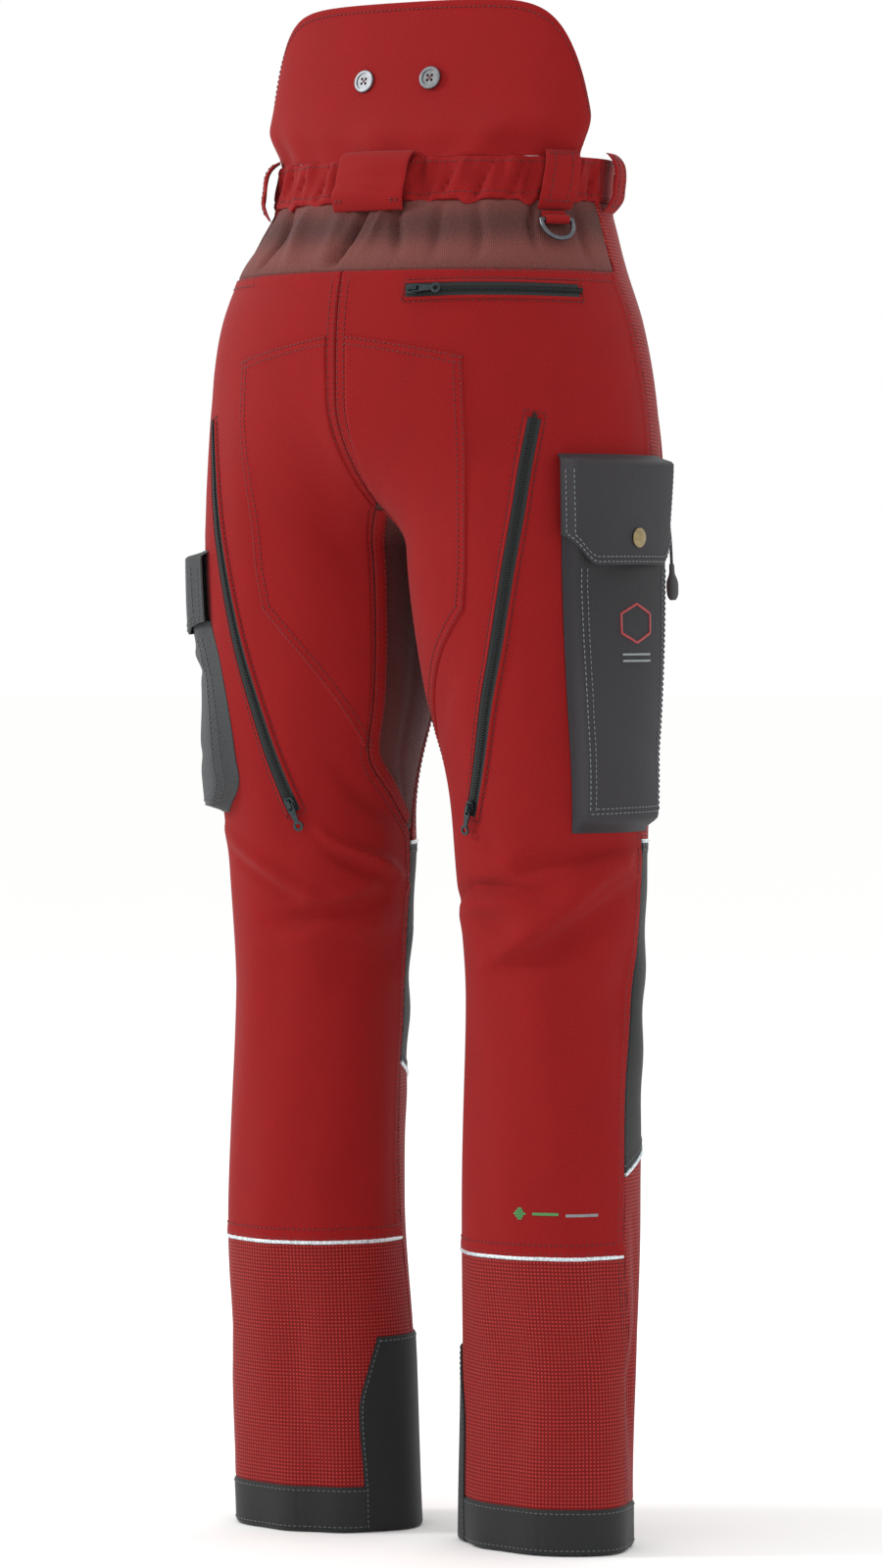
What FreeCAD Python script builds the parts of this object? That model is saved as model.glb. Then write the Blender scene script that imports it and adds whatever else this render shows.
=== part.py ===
"""Chainsaw protective trousers with a raised back bib, as separate sewn panels and hardware.

Millimetres. +X is the wearer's left, -Y the front, +Z up. The origin is the centre of the waist
opening. Heights in this file run up from the hem and are turned to Z by place().
Angles on a leg are seen from above: 0 back, 90 outer side, 180 front, 270 (or -90) inner side.
Angles on the torso run the same way from the centre of the back.
The left half is modelled and the right half is its mirror image.
"""
import FreeCAD, Part
import math
import os

os.makedirs("parts", exist_ok=True)
V = FreeCAD.Vector
UP = V(0, 0, 1)

# Heights above the hem
WAIST = 1090.0
BAND_LOW = 1056.0
YOKE_LOW = 1000.0
CALF_SEAM = 233.0
HEM_BAND = 36.0
BIB_RISE = 125.0
WAIST_CENTRE_Y = -9.0

# Fabric thicknesses and the seam gap between neighbouring panels
FACE_CLOTH = 1.4
DOUBLED_CLOTH = 2.4
PATCH_CLOTH = 1.0
PAD = 5.0
SEAM = 0.6
LAYER_GAP = 0.5
PAD_GAP = 0.7

# Sections of a leg: height, centre x, centre y, half width, half depth, toe-out in degrees
LEG = [
    (0, 104, 5, 75, 57, 15),
    (130, 107, 8, 75, 58, 14),
    (260, 112, 13, 71, 66, 10),
    (430, 110.5, 5, 69, 68, 4),
    (530, 109, 8, 73.5, 73.5, 2),
    (600, 110, 12, 77, 80, 0),
    (680, 102, 12, 87, 94, 0),
    (760, 97.5, 14, 94, 102, 0),
    (830, 97, 15, 95, 105, 0),
]
SQUARENESS = 2.15

# Sections of the seat and waist: height, half width, back y, front y
TORSO = [
    (760, 196, 138, -118),
    (830, 197, 146, -120),
    (900, 192, 150, -122),
    (960, 180, 149, -119.5),
    (1005, 163, 138, -114),
    (1030, 153, 118, -109.5),
    (1062, 143, 95, -103),
    (1100, 145, 84, -102),
]
BLEND_LOW = 785.0
BLEND_RISE = 115.0

# Sections of the raised back bib: height, half width, back y; its sides lie at BIB_SIDE_Y
BIB = [(1084, 147, 87), (1110, 151, 79), (1140, 147, 66), (1180, 139, 58), (1222, 129, 52)]
BIB_SIDE_Y = 15.0
BIB_EDGE = 88.5
BIB_WRAP = 0.86
BIB_FLARE = 34.0
BIB_ROUNDING = 5
BIB_BUTTONS = (12.3, 1153)

# Seams and edges as (angle, height) on the left leg
SIDE_SEAM = [(92, 0), (90, 142), (84, 233), (84, 296), (86, 372), (103, 532), (104, 700),
             (100, 860), (99.5, 1000), (108, 1056)]
YOKE_SIDE = [(92.5, 1000), (90, 1056)]
INNER_SEAM = [(-104, 0), (-104, 500), (-105, 560)]
GUSSET_BACK = [(-105, 560), (-84, 588), (-64, 618), (-60, 660), (-57, 717), (-54.5, 780), (-52, 818)]
GUSSET_FRONT = [(-109, 560), (-118, 600), (-121, 660), (-124, 717), (-127, 780), (-129, 818)]
SEAT_SIDE = [(-2, 737), (1, 768), (2, 800), (4, 867), (3, 933)]
KNEE_OUTER = (296, 556)
KNEE_INNER = (374, 550)
INNER_ANGLE = 256
BACK_CUTS = [400.0, 520.0, 640.0, 760.0, 880.0]
KICK_FRONT = -150
KICK_EDGE = [(-60, 37), (-58, 100), (-64, 128), (-72, 156)]
VENT_LINE = [(-20, 577), (-4, 633), (9, 690), (17, 740), (24, 800), (28.5, 850), (32.5, 887)]
FACING_WIDTH = 36.0
FACING_DEPTH = 3.4
HAND_LINE = [(122, 812), (131, 852), (140, 895), (150, 945)]
# A vent's slider runs true over the lower part of its zip; above it the leg turns too far.
VENT_RUN, VENT_SWEEP = VENT_LINE[:5], 11.5
BACK_POCKET_LINE = [(-18, 983), (0, 984), (20, 984), (40, 983.5), (60, 983)]
FLY_LINE = [(180, 905), (180, 945), (180, 985), (180, 1020), (180, 1048)]

# Pockets on the thighs: angle range, height range, how far they stand off the leg
CARGO_ANGLES = (44, 108)
CARGO_HEIGHTS = (564, 837)
CARGO_DEPTH = 12.0
CARGO_FLAP = (772, 857)
FLAP_CORNER = 22.0
CARGO_SNAP = (77, 793)
KNIFE_EDGE = [(33, 575), (18, 597), (19, 620), (21, 645), (25, 680), (29, 704), (37, 728)]
KNIFE_FRONT = 108
KNIFE_DEPTH = 11.0
KNIFE_FLAP = (718, 784)
POCKET_WALL = 0.1
FLAP_BEND, FLAP_GAP = 0.085, 0.8
KNIFE_CORNER = 10.0
PIPING = (3.4, 1.7)
POCKET_COLUMNS = [0, 0.03, 0.07, 0.12, 0.22, 0.36, 0.5, 0.64, 0.78, 0.88, 0.93, 0.97, 1]

# Hardware
TAPE = 11.0
COIL = 5.0
COIL_TOP = 1.8
SLIDER_LENGTH = 11.0
SLIDER_WIDTH = 8.4
SLIDER_BASE = 3.3
PLATE = 1.1
ARCH = 2.4
PIVOT_HEIGHT = 5.4
SLIDER_INSET = 7.0
FINE = 24
BUTTON_R = 9.2
SNAP_R = 7.6
CORD_D = 2.4
RING_BAR = 26.0
RING_WIRE = 1.9
RING_HEIGHT = 1037.0
RING_ANGLE = 65.0
RING_OFFSET = 5.2
TAB_TAIL = 7.5

# Belt loops: angle round the waist and half width in degrees
LOOP_HEIGHTS = (1047, 1095)
LOOP_BULGE = 11.0
CENTRE_LOOP = (0, 12.5)
BACK_LOOP = (65, 7)
FRONT_LOOPS = [(97, 5.5), (138, 5.5)]
FRONT_BUTTONS = [(122, 1074), (154, 1074)]


# ---------------------------------------------------------------- surfaces
def place(x, y, height):
    return V(x, y - WAIST_CENTRE_Y, height - WAIST)


def station(rows, height, column):
    """One column of a table of sections, smoothly interpolated at a height."""
    if height <= rows[0][0]:
        return rows[0][column]
    if height >= rows[-1][0]:
        return rows[-1][column]
    last = len(rows) - 1
    i = max(k for k in range(last) if rows[k][0] <= height)

    def slope(k):
        low, high = max(k - 1, 0), min(k + 1, last)
        return (rows[high][column] - rows[low][column]) / (rows[high][0] - rows[low][0])

    span = rows[i + 1][0] - rows[i][0]
    t = (height - rows[i][0]) / span
    return ((2 * t**3 - 3 * t**2 + 1) * rows[i][column] + (t**3 - 2 * t**2 + t) * slope(i) * span
            + (3 * t**2 - 2 * t**3) * rows[i + 1][column] + (t**3 - t**2) * slope(i + 1) * span)


def smooth(t):
    t = min(1.0, max(0.0, t))
    return t * t * (3 - 2 * t)


def leg_xy(angle, height):
    """A point of the left leg's outer face; it blends into the torso's ellipse at the seat."""
    cx, cy, half_width, half_depth, toe = (station(LEG, height, k) for k in range(1, 6))
    a = math.radians(angle)
    turned = a + math.radians(toe)
    radius = ((abs(math.sin(turned)) / half_width) ** SQUARENESS
              + (abs(math.cos(turned)) / half_depth) ** SQUARENESS) ** (-1 / SQUARENESS)
    share = smooth((height - BLEND_LOW) / BLEND_RISE)
    dx, dy = math.sin(a), math.cos(a)
    if share > 0:
        wide, back, front = (station(TORSO, height, k) for k in (1, 2, 3))
        deep, y0 = (back - front) / 2, cy - (back + front) / 2
        qa = (dx / wide) ** 2 + (dy / deep) ** 2
        qb = cx * dx / wide**2 + y0 * dy / deep**2
        qc = (cx / wide) ** 2 + (y0 / deep) ** 2 - 1
        radius += share * ((-qb + math.sqrt(qb * qb - qa * qc)) / qa - radius)
    return cx + radius * dx, cy + radius * dy


def leg(angle, height):
    return place(*leg_xy(angle, height), height)


def torso(angle, height):
    wide, back, front = (station(TORSO, height, k) for k in (1, 2, 3))
    a = math.radians(angle)
    return place(wide * math.sin(a), (back + front) / 2 + (back - front) / 2 * math.cos(a), height)


def bib(angle, height):
    """The bib's outer face: it leaves the waistband's curve and flares to its own."""
    wide, back = (station(BIB, height, k) for k in (1, 2))
    a = math.radians(angle)
    flared = place(wide * math.sin(a), BIB_SIDE_Y + (back - BIB_SIDE_Y) * math.cos(a), height)
    root = torso(angle * BIB_WRAP, min(height, TORSO[-1][0]))
    root.z = flared.z
    share = smooth((height - WAIST) / BIB_FLARE)
    return root + (flared - root) * share


def bib_top(angle):
    return WAIST + BIB_RISE * math.sqrt(1 - abs(angle / 90) ** BIB_ROUNDING)


def outward(surface, angle, height):
    up = surface(angle, height + 1) - surface(angle, height - 1)
    return up.cross(surface(angle + 0.5, height) - surface(angle - 0.5, height)).normalize()


def lifted(surface, angle, height, offset):
    return surface(angle, height) + outward(surface, angle, height) * offset


def centre_seam(height, front=False):
    """The leg angle at which the surface meets the centre plane, found by halving."""
    low, high = (-150.0, -91.0) if front else (-30.0, -89.0)
    for _ in range(40):
        middle = (low + high) / 2
        if leg_xy(middle, height)[0] > SEAM / 2:
            low = middle
        else:
            high = middle
    return (low + high) / 2


def along(seam, height):
    """The angle of a seam at a height."""
    return station([(h, a) for a, h in seam], height, 1)


def steps(low, high, count):
    return [low + (high - low) * i / count for i in range(count + 1)]


def refined(line, count):
    """A line of (angle, height) points, smoothly filled in to count runs."""
    knots_in = [(i, a, h) for i, (a, h) in enumerate(line)]
    return [(station(knots_in, t, 1), station(knots_in, t, 2)) for t in steps(0, len(line) - 1, count)]


def edge_rise(share, wall=POCKET_WALL):
    """0 at both ends of a width, 1 inside its walls."""
    return smooth(min(share, 1 - share) / wall)


# ---------------------------------------------------------------- cloth solids
def between(left, right, across):
    """Rows of (angle, height, share across, share up) from one edge line to the other."""
    low, high = left[0][1], left[-1][1]
    rows = []
    for (a0, h0), (a1, h1) in zip(left, right):
        rows.append([(a0 + (a1 - a0) * u, h0 + (h1 - h0) * u, u, (h0 - low) / (high - low))
                     for u in across])
    return rows


def knots(count, degree):
    inner = count - degree - 1
    return [degree + 1] + [1] * inner + [degree + 1], list(range(inner + 2))


def steered(points):
    """Poles that take a cubic through a line of points, to within its fourth differences."""
    last = len(points) - 1
    if last < 3:
        return list(points)
    poles = [points[0]]
    for i in range(1, last):
        share = 12 if i in (1, last - 1) else 6
        poles.append(points[i] - (points[i - 1] + points[i + 1] - points[i] * 2) * (1 / share))
    return poles + [points[last]]


def spline_face(rows):
    """A face through rows of points: cubic, or straight across only two rows."""
    du, dv = min(3, len(rows) - 1), min(3, len(rows[0]) - 1)
    columns = [steered([row[k] for row in rows]) for k in range(len(rows[0]))]
    rows = [steered([column[k] for column in columns]) for k in range(len(rows))]
    u_mults, u_knots = knots(len(rows), du)
    v_mults, v_knots = knots(len(rows[0]), dv)
    surface = Part.BSplineSurface()
    surface.buildFromPolesMultsKnots(rows, u_mults, v_mults, u_knots, v_knots, False, False, du, dv)
    return surface.toShape()


def closed(inner, outer):
    """The solid between two grids of points: two smooth skins and the four edges between them."""
    faces = [spline_face(inner), spline_face(outer)]
    for end in (0, -1):
        faces.append(spline_face([inner[end], outer[end]]))
        faces.append(spline_face([[row[end] for row in inner], [row[end] for row in outer]]))
    solid = Part.Solid(Part.Shell(faces))
    if solid.Volume < 0:
        solid.reverse()
    return solid


def cloth(surface, rows, inner, outer):
    """A sheet between two offsets outside a surface; an offset is a number or f(across, up)."""
    grids = []
    for offset in (inner, outer):
        depth = offset if callable(offset) else (lambda u, v, value=offset: value)
        grids.append([[lifted(surface, a, h, depth(u, v)) for a, h, u, v in row] for row in rows])
    return closed(*grids)


def strip(surface, line, width, inner, outer):
    """A ribbon of even width along a line of (angle, height) points."""
    points = [surface(a, h) for a, h in line]
    normals = [outward(surface, a, h) for a, h in line]
    grids = []
    for offset in (inner, outer):
        grid = []
        for i, point in enumerate(points):
            run = points[min(i + 1, len(points) - 1)] - points[max(i - 1, 0)]
            side = run.cross(normals[i]).normalize()
            grid.append([point + normals[i] * offset + side * width * (u - 0.5)
                         for u in steps(0, 1, 3)])
        grids.append(grid)
    return closed(*grids)


def mirrored(shape):
    return shape.mirror(V(0, 0, 0), V(1, 0, 0))


# ---------------------------------------------------------------- hardware shapes
def stand(shape, point, ahead, out):
    """Moves a shape made at the origin, X ahead and Z outwards, to a point on the cloth."""
    z = V(out).normalize()
    x = (ahead - z * ahead.dot(z)).normalize()
    y = z.cross(x)
    placed = shape.copy()
    placed.Placement = FreeCAD.Placement(FreeCAD.Matrix(
        x.x, y.x, z.x, point.x, x.y, y.y, z.y, point.y, x.z, y.z, z.z, point.z, 0, 0, 0, 1))
    return placed


def extruded(outline, depth):
    points = [V(*p) for p in outline]
    return Part.Face(Part.makePolygon(points + points[:1])).extrude(depth)


def zip_slider():
    """A coil slider: tapered plate with a pierced arch on top for the pull."""
    half, wide = SLIDER_LENGTH / 2, SLIDER_WIDTH / 2
    plan = [(-half, -wide * 0.7), (-1, -wide), (half, -wide * 0.8),
            (half, wide * 0.8), (-1, wide), (-half, wide * 0.7)]
    plate = extruded([(x, y, SLIDER_BASE) for x, y in plan], V(0, 0, PLATE))
    top = SLIDER_BASE + PLATE
    outer = [(-4.4, top - 0.2), (-3.2, top + 2.7), (3.2, top + 2.7), (4.4, top - 0.2)]
    inner = [(-3.0, top - 0.1), (-2.4, top + 1.9), (2.4, top + 1.9), (3.0, top - 0.1)]
    arch = extruded([(x, -ARCH / 2, z) for x, z in outer], V(0, ARCH, 0))
    tunnel = extruded([(x, -ARCH, z) for x, z in inner], V(0, 2 * ARCH, 0))
    return plate.fuse(arch.cut(tunnel)).removeSplitter()


def pull_fork():
    """The pull's cross bar through the slider's arch, and its two arms."""
    bar = Part.makeCylinder(0.7, 5.6, V(0, -2.8, PIVOT_HEIGHT), V(0, 1, 0))
    arms = [Part.makeBox(7.0, 1.1, 1.3, V(-0.7, y, PIVOT_HEIGHT - 0.65)) for y in (-2.8, 1.7)]
    return bar.multiFuse(arms)


def ring_pull():
    """A flat metal pull that ends in a pierced round eye."""
    low = PIVOT_HEIGHT - 0.65
    shank = extruded([(5.2, -2.8, low), (16, -1.7, low), (16, 1.7, low), (5.2, 2.8, low)], V(0, 0, 1.3))
    eye = Part.makeCylinder(4.1, 1.3, V(18.5, 0, low))
    hole = Part.makeCylinder(2.1, 3, V(18.5, 0, low - 0.8))
    return pull_fork().multiFuse([shank, eye]).cut(hole).removeSplitter()


def cord_eye():
    """The short metal link of a corded pull."""
    low = PIVOT_HEIGHT - 0.65
    return pull_fork().fuse(Part.makeBox(3.0, 5.6, 1.3, V(5.2, -2.8, low))).removeSplitter()


def cord_route(frame):
    """The cord of a hand-pocket pull, from its link down to the rubber grip."""
    ahead, out = frame["closing"], frame["out"]
    level = V(out.x, out.y, 0).normalize()
    points = [frame["seat"] + ahead * 8.2 + out * PIVOT_HEIGHT]
    for forwards, down, away in ((10.5, 0, 1.4), (5.5, 9.5, 1.3), (1.0, 12.5, 0.5)):
        points.append(points[-1] + ahead * forwards - UP * down + level * away)
    return points


def tube(route, diameter):
    """Straight runs joined by tangent arcs, as large as the runs allow."""
    edges = []
    radii = []
    start = route[0]
    for before, corner, after in zip(route, route[1:], route[2:]):
        back, on = before - corner, after - corner
        run = min(back.Length, on.Length)
        turn = math.pi - back.getAngle(on)
        cut = 0.45 * run
        radius = cut / math.tan(turn / 2)
        radii.append(round(radius, 1))
        first = corner + V(back).normalize() * cut
        last = corner + V(on).normalize() * cut
        middle_way = (V(back).normalize() + V(on).normalize()).normalize()
        sink = radius / math.cos(turn / 2) - radius
        edges.append(Part.LineSegment(start, first).toShape())
        edges.append(Part.Arc(first, corner + middle_way * sink, last).toShape())
        start = last
    edges.append(Part.LineSegment(start, route[-1]).toShape())
    path = Part.Wire(edges)
    circle = Part.Wire(Part.makeCircle(diameter / 2, route[0], route[1] - route[0]))
    solid = path.makePipeShell([circle], True, False)
    return solid, path.Length, radii


def grip(top, down):
    """A moulded rubber grip: a neck at the cord, swelling to a rounded end."""
    profile = [(1.7, 0), (2.1, 3), (2.4, 8), (4.2, 13), (4.7, 20), (3.9, 26), (2.2, 28.6)]
    side = Part.BSplineCurve()
    side.interpolate([V(r, 0, z) for r, z in profile])
    (neck, _), (tip, length) = profile[0], profile[-1]
    edges = [Part.makeLine(V(0, 0, 0), V(neck, 0, 0)), side.toShape(),
             Part.makeLine(V(tip, 0, length), V(0, 0, length)),
             Part.makeLine(V(0, 0, length), V(0, 0, 0))]
    body = Part.Face(Part.Wire(edges)).revolve(V(0, 0, 0), UP, 360)
    return stand(body, top, V(1, 0, 0), down)


def brace_button():
    """A four-hole metal brace button with a raised rim, on its stalk of thread."""
    disc = Part.makeCylinder(BUTTON_R, 2.0, V(0, 0, 1.4))
    rim = disc.makeFillet(0.9, [e for e in disc.Edges if e.BoundBox.ZMin > 3.3 and e.Length > 50])
    dish = Part.makeCylinder(BUTTON_R - 2.6, 1.0, V(0, 0, 2.7))
    holes = [Part.makeCylinder(1.15, 4, V(1.9 * i, 1.9 * j, 1.0)) for i in (-1, 1) for j in (-1, 1)]
    stalk = Part.makeCylinder(1.5, 1.3, V(0, 0, 0.15))
    return rim.cut(dish).cut(holes[0].multiFuse(holes[1:])).fuse(stalk)


def snap_cap():
    """The domed cap of a ring-spring snap."""
    rise = 2.6
    ball = (SNAP_R**2 + rise**2) / (2 * rise)
    dome = Part.makeSphere(ball, V(0, 0, rise - ball + 1.0))
    return dome.common(Part.makeCylinder(SNAP_R, 6, V(0, 0, 1.0))).fuse(
        Part.makeCylinder(SNAP_R, 1.0, V(0, 0, 0.05)))


def snap_stud():
    """The lower half of the snap: a washer with a stud."""
    washer = Part.makeCylinder(5.2, 0.6, V(0, 0, 0.25))
    return washer.fuse(Part.makeCylinder(1.9, 0.8, V(0, 0, 0.6)))


def d_ring():
    """A D-ring: a straight bar across the top and a half round below it."""
    half = RING_BAR / 2
    bow = Part.makeTorus(half, RING_WIRE, V(0, 0, 0), V(0, 0, 1), 0, 360, 180)
    bow.rotate(V(0, 0, 0), V(0, 0, 1), 180)
    bow.translate(V(0, -4, 0))
    legs = [Part.makeCylinder(RING_WIRE, 4, V(x, -4, 0), V(0, 1, 0)) for x in (-half, half)]
    corners = [Part.makeSphere(RING_WIRE, V(x, 0, 0)) for x in (-half, half)]
    bar = Part.makeCylinder(RING_WIRE, RING_BAR, V(-half, 0, 0), V(1, 0, 0))
    return bar.multiFuse(legs + corners + [bow]).removeSplitter()


def ring_tab():
    """A webbing tab doubled round the ring's bar."""
    width = RING_BAR - 6
    outer = Part.makeCylinder(RING_WIRE + 1.7, width, V(-width / 2, 0, 0), V(1, 0, 0))
    tail = Part.makeBox(width, TAB_TAIL, 2.8, V(-width / 2, 1.5, -RING_WIRE - 1.7))
    return outer.fuse(tail).cut(Part.makeCylinder(RING_WIRE + 0.35, width + 2, V(-width / 2 - 1, 0, 0),
                                                  V(1, 0, 0)))


# ---------------------------------------------------------------- frames of the moving hardware
def zip_frame(surface, line, side=1):
    """Where a slider stands when its zip is closed, and the arc on which it runs.

    The line's first point is the closed end. Gives the slider's seat, the closing and outward
    directions, the arc's centre and axis, and the angle in degrees to the open end."""
    points = [surface(a, h) for a, h in refined(line, 40)]
    first, middle, last = points[0], points[20], points[-1]
    u, v = middle - first, last - first
    w = u.cross(v)
    centre = first + (w.cross(u) * v.dot(v) + v.cross(w) * u.dot(u)) / (2 * w.dot(w))
    axis = V(w).normalize()
    radius = (first - centre).Length
    sweep = math.degrees((first - centre).getAngle(last - centre))
    inset = math.degrees(SLIDER_INSET / radius)
    seat = centre + FreeCAD.Rotation(axis, inset).multVec(first - centre)
    closing = (seat - centre).cross(axis).normalize()
    near = min(refined(line, 200), key=lambda place_on: (surface(*place_on) - seat).Length)
    out = outward(surface, *near)
    if side < 0:
        seat, closing, out, centre = (V(-p.x, p.y, p.z) for p in (seat, closing, out, centre))
        axis = V(axis.x, -axis.y, -axis.z)
    return {"seat": seat, "closing": closing, "out": out, "centre": centre, "axis": axis,
            "radius": radius, "sweep": sweep - 2 * inset}


def ring_frame(side=-1):
    """The D-ring's bar: its middle, the direction along it and the outward direction."""
    out = outward(torso, RING_ANGLE * side, RING_HEIGHT)
    point = torso(RING_ANGLE * side, RING_HEIGHT) + out * RING_OFFSET
    return {"point": point, "bar": UP.cross(out).normalize(), "out": out}


# ---------------------------------------------------------------- the trousers
nodes = {}


def add(name, *solids):
    nodes.setdefault(name, []).extend(solids)


def add_pair(stem, *solids):
    """A piece of the left half and its mirror image, as two nodes."""
    add(stem + "_left", *solids)
    add(stem + "_right", *[mirrored(solid) for solid in solids])


def add_both(name, *solids):
    """A piece of the left half and its mirror image, in one node."""
    add(name, *solids, *[mirrored(solid) for solid in solids])


def back_inner(height):
    """The back panel's inner edge: inner seam, gusset, then the centre-back seam."""
    if height < INNER_SEAM[-1][1]:
        return along(INNER_SEAM, height) + SEAM / 2
    if height < GUSSET_BACK[-1][1]:
        return along(GUSSET_BACK, height) + SEAM / 2
    return centre_seam(height)


def front_inner(height):
    """The front panel's inner edge, counted on past 180 degrees."""
    if height < GUSSET_FRONT[-1][1]:
        return 360 + along(GUSSET_FRONT, height) - SEAM / 2
    return 360 + centre_seam(height, front=True)


def side_front(height):
    return along(SIDE_SEAM, height) + SEAM / 2


def side_back(height):
    return along(SIDE_SEAM, height) - SEAM / 2


def crotch_height(angle):
    """The height at which the leg surface at an angle reaches the centre plane."""
    low, high = 700.0, 860.0
    for _ in range(40):
        middle = (low + high) / 2
        if leg_xy(angle, middle)[0] > SEAM / 2:
            low = middle
        else:
            high = middle
    return low


def edge(angle_at, low, high, rows):
    """An edge line from a seam function, or from a fixed angle."""
    if callable(angle_at):
        return [(angle_at(h), h) for h in steps(low, high, rows)]
    return [(angle_at, h) for h in steps(low, high, rows)]


def leg_panel(first, last, rows, across, inner=-FACE_CLOTH, outer=0):
    """A leg panel between two edges, each given as (angle or seam function, low, high)."""
    return cloth(leg, between(edge(*first, rows), edge(*last, rows), steps(0, 1, across)), inner, outer)


def back_panels():
    low, high = CALF_SEAM + SEAM / 2, YOKE_LOW - SEAM / 2
    for bottom, top in zip([low] + BACK_CUTS, BACK_CUTS + [high]):
        rows = max(6, round((top - bottom) / 16))
        add_pair("back_leg", leg_panel((back_inner, bottom, top), (side_back, bottom, top), rows, 20))
    seat_in = [(back_inner(h) + 2.5, h) for h in steps(624, 950, 14)]
    seat_out = [(along(SEAT_SIDE, h), h) for h in steps(737, 933, 14)]
    add_pair("seat_patch", cloth(leg, between(seat_in, seat_out, steps(0, 1, 8)),
                                 LAYER_GAP, LAYER_GAP + PATCH_CLOTH))
    low, high = HEM_BAND + SEAM / 2, CALF_SEAM - SEAM / 2
    add_pair("calf_panel", leg_panel((back_inner, low, high), (side_back, low, high), 10, 20))


def gussets():
    """Half of the gusset: its top edge lies in the centre plane, from the back seam to the front."""
    bottom = GUSSET_BACK[0][1] + 2
    first, last = GUSSET_BACK[-1][0], GUSSET_FRONT[-1][0]
    rows = []
    for v in steps(0, 1, 14):
        row = []
        for u in steps(0, 1, 10):
            top = crotch_height(first + (last - first) * u)
            height = bottom + (top - bottom) * v
            a0 = along(GUSSET_BACK, height) - SEAM / 2
            a1 = along(GUSSET_FRONT, height) + SEAM / 2
            row.append((a0 + (a1 - a0) * u, height, u, v))
        rows.append(row)
    add_both("crotch_gusset", cloth(leg, rows, -FACE_CLOTH, 0))


def front_panels():
    gap = SEAM / 2
    top = BAND_LOW - gap
    add_pair("front_thigh", leg_panel((side_front, KNEE_OUTER[1] + gap, top),
                                      (front_inner, KNEE_INNER[1] + gap, top), 34, 16))
    add_pair("knee_panel", leg_panel((side_front, KNEE_OUTER[0] + gap, KNEE_OUTER[1] - gap),
                                     (INNER_ANGLE - gap, KNEE_INNER[0] + gap, KNEE_INNER[1] - gap), 14, 16))
    add_pair("shin_panel", leg_panel((side_front, HEM_BAND + gap, KNEE_OUTER[0] - gap),
                                     (INNER_ANGLE - gap, HEM_BAND + gap, KNEE_INNER[0] - gap), 16, 16))
    add_pair("cut_protection", leg_panel((80, 60, 760), (248, 60, 760), 30, 14,
                                         -FACE_CLOTH - PAD_GAP - PAD, -FACE_CLOTH - PAD_GAP))


def hems_and_guards():
    start = INNER_ANGLE - 360 + SEAM
    add_pair("hem_band", leg_panel((start, 0, HEM_BAND - SEAM / 2), (INNER_ANGLE - SEAM, 0, HEM_BAND - SEAM / 2),
                                   4, 44, -FACE_CLOTH, DOUBLED_CLOTH - FACE_CLOTH))
    back = [(along(KICK_EDGE, h), h) for h in steps(KICK_EDGE[0][1] + 0.5, KICK_EDGE[-1][1], 10)]
    front = [(KICK_FRONT, h) for _, h in back]
    add_both("kick_guards", cloth(leg, between(front, back, steps(0, 1, 10)),
                                  LAYER_GAP, LAYER_GAP + PATCH_CLOTH))
    width, high = PIPING
    calf = [(a, CALF_SEAM) for a in steps(back_inner(CALF_SEAM) + 1, side_back(CALF_SEAM) - 1, FINE)]
    add_both("reflective_piping", strip(leg, calf, width, LAYER_GAP, high))
    for k in (0, 1):
        high_side, low_side = KNEE_OUTER[k], KNEE_INNER[k]
        a0 = side_front(high_side) + 1
        knee = [(a0 + (INNER_ANGLE - 1 - a0) * t, high_side + (low_side - high_side) * t)
                for t in steps(0, 1, FINE)]
        add_both("reflective_piping", strip(leg, knee, width, LAYER_GAP, high))


def waist():
    low, high = BAND_LOW + SEAM / 2, WAIST
    gap = 0.6
    yoke_edge = [(along(YOKE_SIDE, h) - gap, h) for h in steps(YOKE_LOW + gap, BAND_LOW - gap, 6)]
    add("stretch_yoke", cloth(torso, between([(-a, h) for a, h in yoke_edge], yoke_edge, steps(0, 1, 30)),
                              -FACE_CLOTH, 0))
    side = YOKE_SIDE[-1][0] - gap

    def band(first, last, across, inner, outer, low=low, high=high):
        rows = between(edge(first, low, high, 4), edge(last, low, high, 4), steps(0, 1, across))
        return cloth(torso, rows, inner, outer)

    add("waistband_back", band(-side, side, 30, -0.4, DOUBLED_CLOTH - 0.4))
    add("waist_elastic", band(-side + 2, side - 2, 30, -2.2, -0.6, low + 3, high - 3))
    add_pair("waistband_front", band(side + 2 * gap, 180 - gap, 16, -0.4, DOUBLED_CLOTH - 0.4))
    add("waist_tab", strip(torso, [(a, (low + high) / 2) for a in steps(169, 191, 10)], 28,
                           DOUBLED_CLOTH + 1.4, DOUBLED_CLOTH + 2.8))
    tab_out = DOUBLED_CLOTH + 2.8
    out = outward(torso, 180, (low + high) / 2)
    add("waist_snap", stand(snap_cap(), torso(180, (low + high) / 2) + out * tab_out, UP, out))


def belt_loop(angle, half):
    """A doubled loop that stands off the waistband between its sewn ends."""
    def bulge(u, v):
        return DOUBLED_CLOTH + LOOP_BULGE * (1 - (2 * v - 1) ** 4)

    rows = between(edge(angle - half, *LOOP_HEIGHTS, 12), edge(angle + half, *LOOP_HEIGHTS, 12),
                   steps(0, 1, 6))
    return cloth(torso, rows, bulge, lambda u, v: bulge(u, v) + 1.6)


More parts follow.
